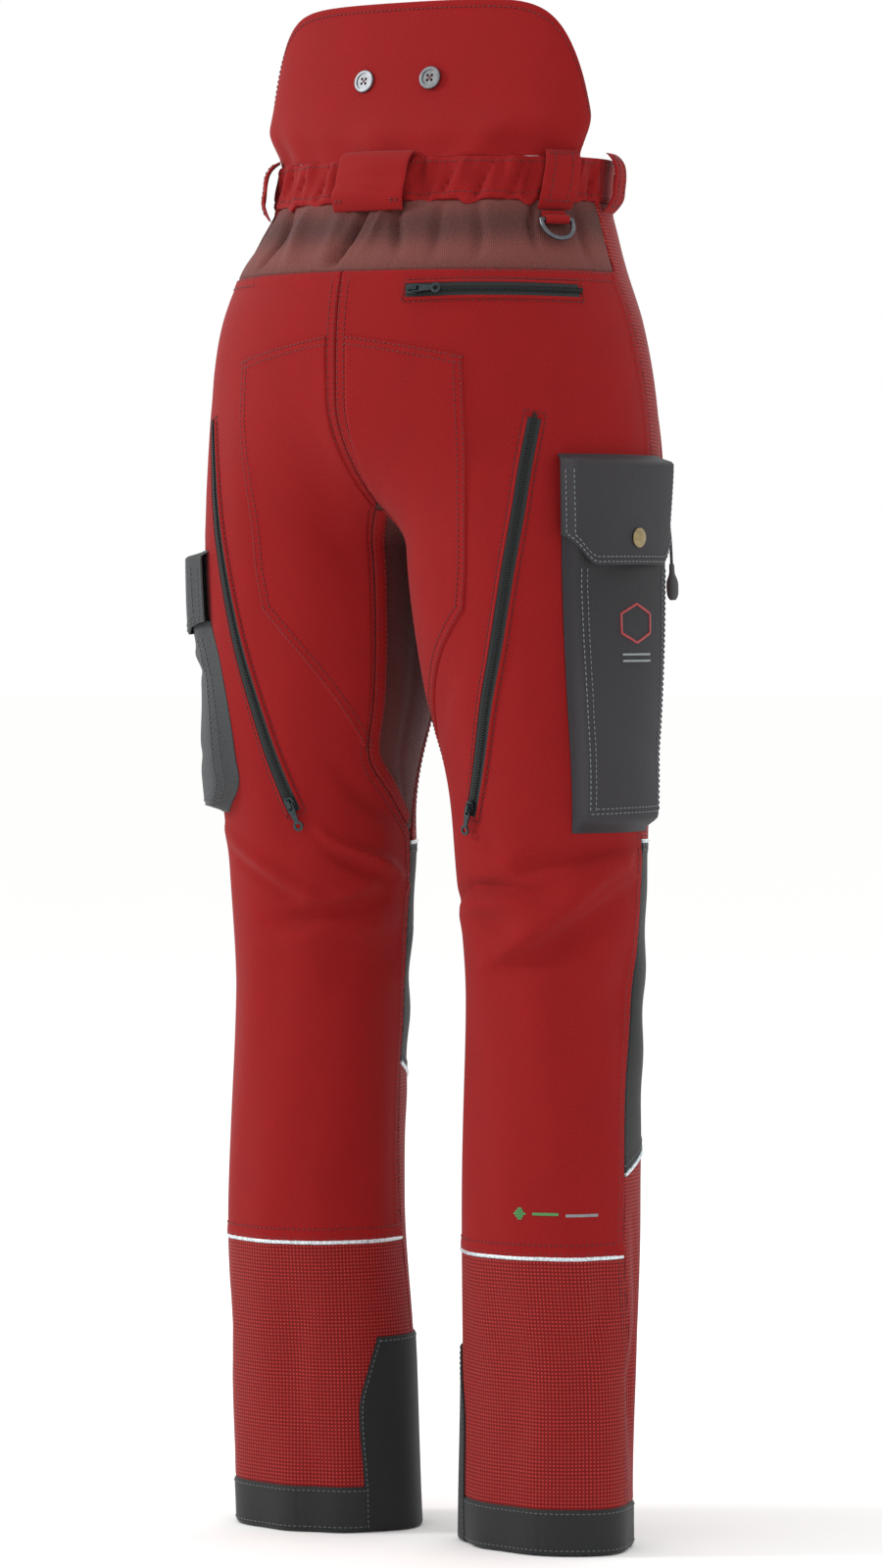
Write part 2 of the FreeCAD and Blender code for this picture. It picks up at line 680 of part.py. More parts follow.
def loops_and_ring():
    add("belt_loop_centre", belt_loop(*CENTRE_LOOP))
    add_both("belt_loops_back", belt_loop(*BACK_LOOP))
    for angle, half in FRONT_LOOPS:
        add_both("belt_loops_front", belt_loop(angle, half))
    frame = ring_frame()
    add("d_ring_tab", stand(ring_tab(), frame["point"], frame["bar"], frame["out"]))
    add("d_ring", stand(d_ring(), frame["point"], frame["bar"], frame["out"]))


def bib_and_buttons():
    def bib_rows(edge_angle, low, drop):
        rows = []
        angles = [edge_angle * math.sin(math.pi / 2 * s) for s in steps(-1, 1, 28)]
        for v in steps(0, 1, 12):
            rows.append([(a, low + (bib_top(a) - drop - low) * v, 0, v) for a in angles])
        return rows

    add("back_bib", cloth(bib, bib_rows(BIB_EDGE, WAIST + SEAM, 0), -1.6, 0))
    add("bib_lining", cloth(bib, bib_rows(BIB_EDGE - 3, WAIST + 3, 4), -5.6, -1.8))
    places = [(bib, a, BIB_BUTTONS[1], 0) for a in (-BIB_BUTTONS[0], BIB_BUTTONS[0])]
    places += [(torso, a * s, h, DOUBLED_CLOTH - 0.4) for a, h in FRONT_BUTTONS for s in (-1, 1)]
    for surface, angle, height, offset in places:
        out = outward(surface, angle, height)
        add("brace_buttons", stand(brace_button(), surface(angle, height) + out * offset, UP, out))


def zip_tape(surface, line, width=TAPE):
    """The woven tape and the raised coil of a closed zip."""
    fine = refined(line, FINE)
    return [strip(surface, fine, width, LAYER_GAP, 1.2), strip(surface, fine, COIL, 1.25, COIL_TOP)]


def zips():
    add("back_pocket_zip", *[mirrored(s) for s in zip_tape(leg, BACK_POCKET_LINE)])
    frame = zip_frame(leg, BACK_POCKET_LINE, side=-1)
    add("back_pocket_slider", stand(zip_slider(), frame["seat"], frame["closing"], frame["out"]))
    add("back_pocket_pull", stand(ring_pull(), frame["seat"], -frame["closing"], frame["out"]))

    add_pair("vent_zip", *zip_tape(leg, VENT_LINE))
    frame = zip_frame(leg, VENT_RUN)
    add_pair("vent_slider", stand(zip_slider(), frame["seat"], frame["closing"], frame["out"]))
    add_pair("vent_pull", stand(ring_pull(), frame["seat"], frame["closing"], frame["out"]))

    add_both("hand_pocket_zips", *zip_tape(leg, HAND_LINE))
    frame = zip_frame(leg, HAND_LINE)
    add_pair("hand_slider", stand(zip_slider(), frame["seat"], frame["closing"], frame["out"]))
    route = cord_route(frame)
    cord, length, radii = tube(route, CORD_D)
    print("pull cord", round(length, 1), "mm, arc radii", radii,
          "volume over section times length", round(cord.Volume / length / math.pi / (CORD_D / 2)**2, 3))
    add_pair("pull_cord", cord)
    link = stand(cord_eye(), frame["seat"], frame["closing"], frame["out"])
    add_pair("hand_pull", link, grip(route[-1], route[-1] - route[-2]))

    add("fly_zip", *zip_tape(torso, FLY_LINE))
    add("fly_facing", strip(torso, refined(FLY_LINE, FINE), FACING_WIDTH, -FACING_DEPTH - 1.2, -FACING_DEPTH))
    frame = zip_frame(torso, FLY_LINE[::-1])
    add("fly_slider", stand(zip_slider(), frame["seat"], frame["closing"], frame["out"]))
    add("fly_pull", stand(ring_pull(), frame["seat"], -frame["closing"], frame["out"]))


def pocket(rows, depth):
    """A bellows pocket: its walls rise from the leg, and it is open at the top."""
    def inner(u, v):
        return LAYER_GAP + depth * edge_rise(u) * smooth(v / 0.05)

    return cloth(leg, rows, inner, lambda u, v: inner(u, v) + FACE_CLOTH)


def flap(angles, heights, depth, corner):
    """A pocket flap, sewn along its top edge, with its lower corners cut off."""
    low, high = heights
    rows = []
    for v in [0, 0.1, 0.25, 0.45, 0.65, 0.78, 0.86, 0.91, 0.95, 0.98, 1]:
        row = []
        for u in POCKET_COLUMNS:
            foot = low + corner * (1 - smooth(min(u, 1 - u) / 0.2))
            row.append((angles[0] + (angles[1] - angles[0]) * u, foot + (high - foot) * v, u, v))
        rows.append(row)

    def inner(u, v):
        return FLAP_GAP + smooth((1 - v) / FLAP_BEND) * (depth * 0.6 + (depth * 0.4 + 3) * edge_rise(u))

    return cloth(leg, rows, inner, lambda u, v: inner(u, v) + FACE_CLOTH)


def pockets():
    low, high = CARGO_HEIGHTS
    heights = [low, low + 4, low + 9, low + 16] + steps(low + 30, high, 10)
    rows = between([(CARGO_ANGLES[0], h) for h in heights], [(CARGO_ANGLES[1], h) for h in heights],
                   POCKET_COLUMNS)
    add("cargo_pocket", mirrored(pocket(rows, CARGO_DEPTH)))
    wide = (CARGO_ANGLES[0] - 1.5, CARGO_ANGLES[1] + 1.5)
    add("cargo_flap", mirrored(flap(wide, CARGO_FLAP, CARGO_DEPTH, FLAP_CORNER)))
    out = outward(leg, *CARGO_SNAP)
    on_flap = leg(*CARGO_SNAP) + out * (CARGO_DEPTH + FLAP_GAP + 3 + FACE_CLOTH)
    add("snap_cap", mirrored(stand(snap_cap(), on_flap, UP, out)))
    on_pocket = leg(*CARGO_SNAP) + out * (CARGO_DEPTH + LAYER_GAP + FACE_CLOTH)
    add("snap_stud", mirrored(stand(snap_stud(), on_pocket, UP, out)))

    low, high = KNIFE_EDGE[0][1], KNIFE_EDGE[-1][1]
    heights = [low, low + 3, low + 8, low + 14] + steps(low + 24, high, 8)
    rows = between([(along(KNIFE_EDGE, h), h) for h in heights], [(KNIFE_FRONT, h) for h in heights],
                   POCKET_COLUMNS)
    add("knife_pocket", pocket(rows, KNIFE_DEPTH))
    add("knife_pocket_flap", flap((along(KNIFE_EDGE, high) - 1.5, KNIFE_FRONT + 1.5), KNIFE_FLAP,
                                  KNIFE_DEPTH, KNIFE_CORNER))


for make in (back_panels, gussets, front_panels, hems_and_guards, waist, loops_and_ring,
             bib_and_buttons, zips, pockets):
    make()

for name, solids in sorted(nodes.items()):
    shape = solids[0] if len(solids) == 1 else Part.makeCompound(solids)
    shape.exportStep("parts/" + name + ".step")
    flaws = "" if all(s.isValid() and s.Volume > 0 for s in solids) else "INVALID"
    print(name, len(solids), round(sum(s.Volume for s in solids) / 1000, 2), flaws)
print(len(nodes), "nodes")
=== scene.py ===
"""Chainsaw protective trousers with a raised back bib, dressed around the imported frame."""
import math

import bpy
import numpy as np
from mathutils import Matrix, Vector


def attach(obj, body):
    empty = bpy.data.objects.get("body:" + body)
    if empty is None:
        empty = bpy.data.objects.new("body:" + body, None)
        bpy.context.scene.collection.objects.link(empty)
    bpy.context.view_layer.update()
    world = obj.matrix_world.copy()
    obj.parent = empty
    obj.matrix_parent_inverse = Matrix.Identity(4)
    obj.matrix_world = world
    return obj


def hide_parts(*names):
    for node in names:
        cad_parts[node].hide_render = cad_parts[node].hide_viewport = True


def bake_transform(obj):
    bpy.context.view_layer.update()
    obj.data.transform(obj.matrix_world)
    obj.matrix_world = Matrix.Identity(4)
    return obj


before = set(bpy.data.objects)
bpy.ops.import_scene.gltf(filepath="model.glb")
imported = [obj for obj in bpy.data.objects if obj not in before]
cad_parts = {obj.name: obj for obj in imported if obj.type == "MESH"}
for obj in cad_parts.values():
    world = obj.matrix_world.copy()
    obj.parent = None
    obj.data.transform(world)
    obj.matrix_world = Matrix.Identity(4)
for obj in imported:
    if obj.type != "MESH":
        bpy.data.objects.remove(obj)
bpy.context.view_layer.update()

# ---------------------------------------------------------------- camera
# A long lens a little above the knees, behind the wearer and to their right, so the back, the
# right side and the inside of the left leg all show.
EYE = Vector((-2.6143, 4.0346, -0.350))
AIM = Vector((0.0, 0.009, -0.492))
camera = bpy.data.objects.new("camera", bpy.data.cameras.new("camera"))
bpy.context.scene.collection.objects.link(camera)
camera.location = EYE
camera.rotation_euler = (AIM - EYE).to_track_quat("-Z", "Y").to_euler()
camera.data.sensor_width = 36.0
camera.data.lens = 138.24
camera.data.clip_end = 50.0
bpy.context.scene.camera = camera

# ---------------------------------------------------------------- pull cords of the hand pockets
# A 2.4 mm braided polyester cord hangs from each slider's link to a moulded rubber grip. It is
# limp and short, and tied inside both ends.
CORD_DIAMETER = 0.0024
CORD_ROUTE = [(0.18626, -0.03105, -0.27918), (0.18947, -0.02828, -0.28890),
              (0.19165, -0.02709, -0.30350), (0.19228, -0.02700, -0.31692)]


def linear(colour):
    """An sRGB hex colour as the linear values a shader takes."""
    channels = [int(colour[i:i + 2], 16) / 255 for i in (1, 3, 5)]
    return [c / 12.92 if c <= 0.04045 else ((c + 0.055) / 1.055) ** 2.4 for c in channels] + [1.0]


def finish(name, colour, roughness, **sockets):
    """A material with its constant values on the shader itself; spaces in a socket name are _."""
    material = bpy.data.materials.new(name)
    material.use_nodes = True
    shader = material.node_tree.nodes["Principled BSDF"]
    shader.inputs["Base Color"].default_value = linear(colour)
    shader.inputs["Roughness"].default_value = roughness
    for socket, value in sockets.items():
        shader.inputs[socket.replace("_", " ")].default_value = value
    return material


def node(material, kind, inputs=None, **settings):
    """Adds one node: inputs are values or other nodes' outputs, settings are its attributes."""
    made = material.node_tree.nodes.new("ShaderNode" + kind)
    for key, value in settings.items():
        setattr(made, key, value)
    for key, value in (inputs or {}).items():
        if isinstance(value, bpy.types.NodeSocket):
            material.node_tree.links.new(value, made.inputs[key])
        else:
            made.inputs[key].default_value = value
    return made


def wire(material, colour=None, roughness=None, normal=None):
    """Links what varies over the surface to the shader."""
    shader = material.node_tree.nodes["Principled BSDF"]
    for socket, value in (("Base Color", colour), ("Roughness", roughness), ("Normal", normal)):
        if value is not None:
            material.node_tree.links.new(value, shader.inputs[socket])


# Braided polyester: two dark yarn shades cross every 1.6 mm, drawn twice the real 0.8 mm.
braid = finish("braided_polyester_cord", "#26292B", 0.7)
place_on = node(braid, "TexCoord")
crossing = node(braid, "TexWave", {"Vector": place_on.outputs["Object"], "Scale": 100.0,
                                   "Distortion": 1.2}, bands_direction="DIAGONAL")
shade = node(braid, "Mix", {0: crossing.outputs["Fac"], 6: linear("#1B1D1F"), 7: linear("#43484B")},
             data_type="RGBA")
raise_yarn = node(braid, "Bump", {"Strength": 0.5, "Distance": 0.0003,
                                  "Height": crossing.outputs["Fac"]})
wire(braid, shade.outputs[2], None, raise_yarn.outputs["Normal"])

# Moulded rubber: dull charcoal with a fine spark-eroded grain.
rubber = finish("moulded_rubber", "#3A3D3C", 0.62)
place_on = node(rubber, "TexCoord")
grain = node(rubber, "TexNoise", {"Vector": place_on.outputs["Object"], "Scale": 1500.0})
dull = node(rubber, "MapRange", {"Value": grain.outputs["Fac"], "To Min": 0.5, "To Max": 0.75})
raise_grain = node(rubber, "Bump", {"Strength": 0.25, "Distance": 0.0001,
                                    "Height": grain.outputs["Fac"]})
wire(rubber, None, dull.outputs["Result"], raise_grain.outputs["Normal"])

# Black zinc: die-cast links and sliders, lacquered, with a soft grey shine on their edges.
black_zinc = finish("lacquered_zinc", "#23292B", 0.34, Metallic=0.85)
place_on = node(black_zinc, "TexCoord")
lacquer = node(black_zinc, "TexNoise", {"Vector": place_on.outputs["Object"], "Scale": 420.0,
                                        "Detail": 4.0})
patchy = node(black_zinc, "MapRange", {"Value": lacquer.outputs["Fac"], "To Min": 0.22,
                                       "To Max": 0.5})
tint = node(black_zinc, "Mix", {0: lacquer.outputs["Fac"], 6: linear("#1B2022"),
                                7: linear("#4A5457")}, data_type="RGBA")
wire(black_zinc, tint.outputs[2], patchy.outputs["Result"])


def dress(node_name, *materials):
    """Puts finishes in a carried-over CAD node's own slots, in order."""
    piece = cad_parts[node_name]
    for index, material in enumerate(materials):
        if index < len(piece.material_slots):
            piece.material_slots[index].material = material
        else:
            piece.data.materials.append(material)


for side, word in ((1, "left"), (-1, "right")):
    curve = bpy.data.curves.new("pull_cord_line_" + word, "CURVE")
    curve.dimensions = "3D"
    curve.bevel_depth = CORD_DIAMETER / 2
    curve.bevel_resolution = 4
    curve.resolution_u = 16
    curve.use_fill_caps = True
    run = curve.splines.new("NURBS")
    run.points.add(len(CORD_ROUTE) - 1)
    for point, (x, y, z) in zip(run.points, CORD_ROUTE):
        point.co = (x * side, y, z, 1)
    run.order_u = 3
    run.use_endpoint_u = True
    cord = bpy.data.objects.new("hand_pocket_cord_" + word, curve)
    bpy.context.scene.collection.objects.link(cord)
    curve.materials.append(braid)
    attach(cord, "hand_pull_" + word)
    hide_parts("pull_cord_" + word)
    x, y, z = CORD_ROUTE[0]

# ---------------------------------------------------------------- the body's shape
# Every panel is cut to one smooth body shape: two legs that run into one seat, a waist, and a bib
# that flares from it. Angles run from the middle of the back round to the front, heights up from
# the hem, both in the row's own millimetres.
WAIST = 1090.0
WAIST_CENTRE_Y = -9.0
LEG = [(0, 104, 5, 75, 57, 15), (130, 107, 8, 75, 58, 14), (260, 112, 13, 71, 66, 10),
       (430, 110.5, 5, 69, 68, 4), (530, 109, 8, 73.5, 73.5, 2), (600, 110, 12, 77, 80, 0),
       (680, 102, 12, 87, 94, 0), (760, 97.5, 14, 94, 102, 0), (830, 97, 15, 95, 105, 0)]
SQUARENESS = 2.15
TORSO = [(760, 196, 138, -118), (830, 197, 146, -120), (900, 192, 150, -122),
         (960, 180, 149, -119.5), (1005, 163, 138, -114), (1030, 153, 118, -109.5),
         (1062, 143, 95, -103), (1100, 145, 84, -102)]
BLEND_LOW, BLEND_RISE = 785.0, 115.0
BIB = [(1084, 147, 87), (1110, 151, 79), (1140, 147, 66), (1180, 139, 58), (1222, 129, 52)]
BIB_SIDE_Y, BIB_WRAP, BIB_FLARE = 15.0, 0.86, 34.0
MM_PER_DEGREE = 1.42          # round a leg, for laying out its folds


def station(rows, height, column):
    """One column of a table of sections, smoothly interpolated at heights."""
    table = np.array(rows, float)
    at, value = table[:, 0], table[:, column]
    low = np.maximum(np.arange(len(at)) - 1, 0)
    high = np.minimum(np.arange(len(at)) + 1, len(at) - 1)
    slope = (value[high] - value[low]) / (at[high] - at[low])
    i = np.clip(np.searchsorted(at, height, side="right") - 1, 0, len(at) - 2)
    span = at[i + 1] - at[i]
    t = np.clip((height - at[i]) / span, 0, 1)
    return ((2 * t**3 - 3 * t**2 + 1) * value[i] + (t**3 - 2 * t**2 + t) * slope[i] * span
            + (3 * t**2 - 2 * t**3) * value[i + 1] + (t**3 - t**2) * slope[i + 1] * span)


def smooth(t):
    t = np.clip(t, 0.0, 1.0)
    return t * t * (3 - 2 * t)


def leg_xy(angle, height):
    cx, cy, half_width, half_depth, toe = (station(LEG, height, k) for k in range(1, 6))
    a = np.radians(angle)
    turned = a + np.radians(toe)
    radius = (np.abs(np.sin(turned) / half_width) ** SQUARENESS
              + np.abs(np.cos(turned) / half_depth) ** SQUARENESS) ** (-1 / SQUARENESS)
    share = smooth((height - BLEND_LOW) / BLEND_RISE)
    dx, dy = np.sin(a), np.cos(a)
    wide, back, front = (station(TORSO, height, k) for k in (1, 2, 3))
    deep, y0 = (back - front) / 2, cy - (back + front) / 2
    qa = (dx / wide) ** 2 + (dy / deep) ** 2
    qb = cx * dx / wide**2 + y0 * dy / deep**2
    qc = (cx / wide) ** 2 + (y0 / deep) ** 2 - 1
    to_torso = (-qb + np.sqrt(np.maximum(qb * qb - qa * qc, 0))) / qa
    radius = radius + share * (to_torso - radius)
    return cx + radius * dx, cy + radius * dy


def leg_shape(angle, height):
    x, y = leg_xy(angle, height)
    return np.stack([x, y - WAIST_CENTRE_Y, height - WAIST], -1)


def torso_shape(angle, height):
    wide, back, front = (station(TORSO, height, k) for k in (1, 2, 3))
    a = np.radians(angle)
    y = (back + front) / 2 + (back - front) / 2 * np.cos(a)
    return np.stack([wide * np.sin(a), y - WAIST_CENTRE_Y, height - WAIST], -1)


def bib_shape(angle, height):
    wide, back = (station(BIB, height, k) for k in (1, 2))
    a = np.radians(angle)
    flared = np.stack([wide * np.sin(a), BIB_SIDE_Y + (back - BIB_SIDE_Y) * np.cos(a)
                       - WAIST_CENTRE_Y, height - WAIST], -1)
    root = torso_shape(angle * BIB_WRAP, np.minimum(height, TORSO[-1][0]))
    root[..., 2] = flared[..., 2]
    return root + (flared - root) * smooth((height - WAIST) / BIB_FLARE)[..., None]


# ---------------------------------------------------------------- folds
# Worn-in cloth: the backs of the knees break into slanting folds, the stretch yoke is drawn into
# upright ones by the waist elastic, and hems and bib hang in shallow flutes.
# Each fold is (line of (angle, height) points, width below it, width above it, rise), in mm.
KNEE_FOLDS = {
    1: [([(-20, 583), (-39, 554), (-55, 545), (-78, 535), (-98, 520)], 5, 10, 5.0),
        ([(-24, 566), (-42, 543), (-60, 531), (-80, 523)], 9, 5, -4.2),
        ([(44, 560), (8, 537), (-10, 521), (-27, 511), (-33, 505)], 6, 12, 3.8),
        ([(36, 543), (6, 524), (-12, 510), (-24, 504)], 8, 5, -3.0),
        ([(4, 487), (-16, 489), (-31, 494), (-49, 499), (-76, 506)], 9, 6, -4.6),
        ([(-27, 506), (-44, 510), (-61, 518), (-72, 530)], 7, 8, 3.2),
        ([(2, 474), (-22, 474), (-50, 482), (-84, 488)], 12, 9, 2.6),
        ([(-30, 438), (-60, 450), (-101, 470)], 26, 14, -2.6),
        ([(70, 560), (76, 500), (66, 440)], 16, 22, -2.2),
        ([(-40, 620), (-60, 590), (-90, 568)], 10, 9, -2.4)],
    -1: [([(-16, 562), (-4, 549), (6, 541)], 6, 7, -2.2),
         ([(-10, 553), (2, 541), (12, 533)], 5, 6, 1.8),
         ([(7, 531), (19, 537), (40, 544), (67, 551), (100, 554)], 6, 10, -4.6),
         ([(-62, 507), (-38, 517), (-12, 522), (8, 520), (34, 513)], 6, 5, -4.4),
         ([(-60, 496), (-20, 508), (10, 508), (30, 500)], 9, 8, 2.6),
         ([(-12, 463), (5, 475), (22, 488), (40, 503), (58, 525), (84, 541)], 6, 16, 4.8),
         ([(-8, 458), (16, 467), (38, 482), (60, 500), (86, 520)], 15, 6, -5.4),
         ([(-52, 500), (-22, 496), (0, 489), (14, 482)], 7, 6, -2.0),
         ([(40, 420), (76, 436), (96, 470)], 24, 18, -2.2)],
}
SEAT_FOLDS = {
    1: [([(-26, 912), (-30, 850), (-36, 800), (-44, 756)], 12, 16, -2.6),
        ([(60, 930), (64, 860), (58, 790)], 22, 16, -2.0)],
    -1: [([(-8, 700), (-30, 660), (-52, 634)], 14, 10, -2.4),
         ([(38, 930), (36, 880), (42, 820)], 10, 14, -2.0)],
}
SHIN_FOLDS = {
    1: [([(66, 60), (72, 110), (60, 170), (70, 226)], 8, 10, -1.6),
        ([(-20, 50), (-10, 120), (-26, 200)], 22, 14, -1.8)],
    -1: [([(56, 70), (52, 140), (66, 200), (60, 250)], 9, 9, -2.2),
         ([(100, 60), (92, 130), (104, 180), (96, 260)], 8, 10, -2.6),
         ([(0, 60), (14, 120), (4, 196)], 18, 20, -1.6)],
}
YOKE_FOLDS = [([(40, 1056), (34, 1030), (38, 1002)], 3.5, 5.0, -6.0),
              ([(28, 1056), (24, 1026), (20, 1004)], 7.0, 7.0, 3.4),
              ([(11, 1056), (9, 1030), (8, 1004)], 5.0, 7.0, 2.4),
              ([(1, 1058), (2, 1028), (5, 999)], 3.0, 4.0, -6.5),
              ([(-5, 1056), (-5, 1034), (-4, 1016)], 3.0, 3.0, 2.6),
              ([(-9, 1058), (-12, 1036), (-16, 1014)], 3.0, 4.5, -4.6),
              ([(-24, 1058), (-25, 1034), (-27, 1008)], 5.0, 4.0, -2.8),
              ([(-36, 1058), (-39, 1030), (-40, 1008)], 4.0, 5.0, -3.0),
              ([(-57, 1058), (-56, 1036), (-59, 1014)], 3.0, 3.0, -4.0),
              ([(-74, 1056), (-78, 1026), (-80, 1006)], 4.0, 5.0, -3.0),
              ([(62, 1056), (60, 1030), (66, 1004)], 4.0, 6.0, -3.6),
              ([(80, 1052), (77, 1026), (80, 1004)], 4.0, 4.0, -2.4)]
VENT_LINE = [(-20, 577), (-4, 633), (9, 690), (17, 740), (24, 800), (28.5, 850), (32.5, 887)]
HAND_LINE = [(122, 812), (131, 852), (140, 895), (150, 945)]
BACK_POCKET_LINE = [(-18, 983), (0, 984), (20, 984), (40, 983.5), (60, 983)]


def fill_in(line, runs):
    """A line of (angle, height) points, smoothly filled in."""
    rows = [(i, a, h) for i, (a, h) in enumerate(line)]
    at = np.linspace(0, len(line) - 1, runs + 1)
    return np.stack([station(rows, at, 1), station(rows, at, 2)], -1)


def to_line(angle, height, line, mm_per_degree, runs=8):
    """Distance in mm to a line, which side of it, and how far along it (0 to 1)."""
    points = fill_in(line, runs) * (mm_per_degree, 1)
    x, y = angle * mm_per_degree, height
    near = np.full(np.shape(x), 1e9)
    side, along = np.zeros_like(near), np.zeros_like(near)
    for i, ((px, py), (qx, qy)) in enumerate(zip(points[:-1], points[1:])):
        dx, dy = qx - px, qy - py
        t = np.clip(((x - px) * dx + (y - py) * dy) / (dx * dx + dy * dy), 0, 1)
        ex, ey = x - px - t * dx, y - py - t * dy
        distance = np.hypot(ex, ey)
        closer = distance < near
        near = np.where(closer, distance, near)
        side = np.where(closer, np.sign(dx * ey - dy * ex), side)
        along = np.where(closer, (i + t) / runs, along)
    return near, side, along


def folded(angle, height, folds, mm_per_degree=MM_PER_DEGREE):
    """The summed rise of a set of folds; each dies away at both ends."""
    rise = np.zeros(np.shape(angle))
    for line, right, left, high in folds:
        near, side, along = to_line(angle, height, line, mm_per_degree)
        width = np.where(side > 0, left, right)
        fade = np.sin(math.pi * np.clip(along, 0.04, 0.96)) ** 0.6
        rise += high * np.exp(-(near / width) ** 2) * fade
    return rise


def drape(angle, height, sway):
    """The long shallow swells of hanging cloth."""
    x, y = np.radians(angle), height / 100
    return sway * (np.sin(3 * x + 0.9 * y + 0.6) * np.sin(1.3 * y + 1.1)
                   + 0.6 * np.sin(5 * x - 1.4 * y) * np.cos(0.9 * y + 0.4)
                   + 0.35 * np.sin(9 * x + 2.1 * y + 2.0))


def leg_folds(side, angle, height):
    angle = (angle + 180) % 360 - 180
    rise = 1.5 * folded(angle, height, KNEE_FOLDS[side] + SEAT_FOLDS[side] + SHIN_FOLDS[side])
    rise += drape(angle + 40 * side, height, 1.1) * smooth((1000 - height) / 90)
    front_knee = (1 - smooth(np.abs(np.abs(angle) - 150) / 70)) * np.exp(-((height - 430) / 90) ** 2)
    rise += 1.6 * front_knee * np.sin(height / 11 + np.radians(angle) * 2)
    rise += 1.5 * np.sin(np.radians(angle) * 7 + side) * np.exp(-height / 110)
    for line in (VENT_LINE, HAND_LINE) + ((BACK_POCKET_LINE,) if side < 0 else ()):
        near, _, _ = to_line(angle, height, line, MM_PER_DEGREE)
        rise *= smooth((near - 7) / 18)
    pull = np.hypot((angle + 22) * MM_PER_DEGREE, height - 566)
    return rise * smooth((pull - 8) / 16)


def torso_folds(side, angle, height):
    drawn = smooth((1060 - height) / 8) * smooth((height - 1000) / 10)
    rise = 1.4 * folded(angle, height, YOKE_FOLDS, 2.4) * drawn
    rise += 0.8 * np.sin(np.radians(angle) * 17 + 0.7) * smooth((height - 1008) / 30) * drawn
    ring = np.hypot((angle + 65) * 2.4, height - 1030)
    return rise * smooth((ring - 10) / 14)


def band_folds(side, angle, height):
    """The gathered waistband: puffs between the tight lines of the elastic."""
    a, tilt = np.radians(angle), (height - 1073) / 17
    puff = (np.sin(23 * a + 0.5 + 0.9 * tilt) + 0.8 * np.sin(37 * a + 1.9 - 1.3 * tilt)
            + 0.6 * np.sin(61 * a + 1.1 * tilt) + 0.5 * np.sin(11 * a + 2.2))
    crease = -np.exp(-((np.sin(15 * a + 0.8 * tilt + 0.4)) / 0.16) ** 2)
    back = smooth((94 - np.abs(angle)) / 8)
    gap = -3.0 * np.exp(-((angle + 15.5) / 1.6) ** 2)
    return back * (1.15 * puff + 1.9 * crease + gap) * (
        0.25 + np.sin(math.pi * np.clip((height - 1053) / 40, 0, 1)) ** 0.7)


def bib_folds(side, angle, height):
    low = np.exp(-((height - 1090) / 26) ** 2) * smooth((height - 1088) / 6)
    a = np.radians(angle)
    return (low * (1.6 * np.sin(9 * a + 1.2) + 1.1 * np.sin(17 * a + 0.3))
            + 1.2 * np.sin(4 * a + 0.8) * np.sin((height - 1090) / 45))


def unfolded(side, angle, height):
    """The smooth body shape itself."""
    return np.zeros(np.shape(angle))


LEG_CLOTH, TORSO_CLOTH = (leg_shape, leg_folds), (torso_shape, torso_folds)
BAND_CLOTH, BIB_CLOTH = (torso_shape, band_folds), (bib_shape, bib_folds)
PLAIN_LEG, PLAIN_TORSO = (leg_shape, unfolded), (torso_shape, unfolded)
PLAIN_BIB = (bib_shape, unfolded)


def on_cloth(cloth, side, angle, height, lift=0.0):
    """Points in metres on a folded cloth, lifted by some mm, and the outward directions."""
    shape, folds = cloth
    angle, height = np.broadcast_arrays(np.asarray(angle, float), np.asarray(height, float))
    up = shape(angle, height + 1) - shape(angle, height - 1)
    out = np.cross(up, shape(angle + 0.5, height) - shape(angle - 0.5, height))
    out /= np.linalg.norm(out, axis=-1, keepdims=True)
    rise = (lift(angle, height) if callable(lift) else lift) + folds(side, angle, height)
    mirror = np.array([side, 1, 1])
    return (shape(angle, height) + out * rise[..., None]) * mirror / 1000, out * mirror


# ---------------------------------------------------------------- back of the legs
# The backs are one long softshell panel each, from the calf seam to the yoke, sewn to the front
# with felled double-stitched seams. The cloth is a fleece-backed stretch softshell.
FACE_CLOTH = 1.4
STITCH, STITCH_PITCH = 2.9, 4.2      # the real 3.3 mm stitch is too fine to show
CALF_SEAM, HEM_BAND, YOKE_LOW, BAND_LOW = 233.0, 36.0, 1000.0, 1056.0
SIDE_SEAM = [(92, 0), (90, 142), (84, 233), (84, 296), (86, 372), (103, 532), (104, 700),
             (100, 860), (99.5, 1000), (108, 1056)]
INNER_SEAM = [(-104, 0), (-104, 500), (-105, 560)]
GUSSET_BACK = [(-105, 560), (-84, 588), (-64, 618), (-60, 660), (-57, 717), (-54.5, 780),
               (-52, 818)]
SEAT_SIDE = [(-2, 737), (1, 768), (2, 800), (4, 867), (3, 933)]

# Stretch softshell: a matt polyester face of fine diagonal rib over fleece; it soaks up light
# with a faint bloom at glancing angles. The rib is 0.5 mm, drawn at 1.5 mm.
softshell = finish("red_stretch_softshell", "#AE2A2B", 0.82, Sheen_Weight=0.05,
                   Sheen_Roughness=0.45, Specular_IOR_Level=0.12)
cut = node(softshell, "UVMap", uv_map="cut")
rib = node(softshell, "TexWave", {"Vector": cut.outputs["UV"], "Scale": 0.21,
                                  "Distortion": 1.5, "Detail": 2.0, "Detail Scale": 2.0},
           bands_direction="DIAGONAL")
fleck = node(softshell, "TexNoise", {"Vector": cut.outputs["UV"], "Scale": 0.9, "Detail": 3.0})
cloud = node(softshell, "TexNoise", {"Vector": cut.outputs["UV"], "Scale": 0.03, "Detail": 5.0})
tone = node(softshell, "Math", {0: cloud.outputs["Fac"], 1: 0.3, 2: fleck.outputs["Fac"]},
            operation="MULTIPLY_ADD")
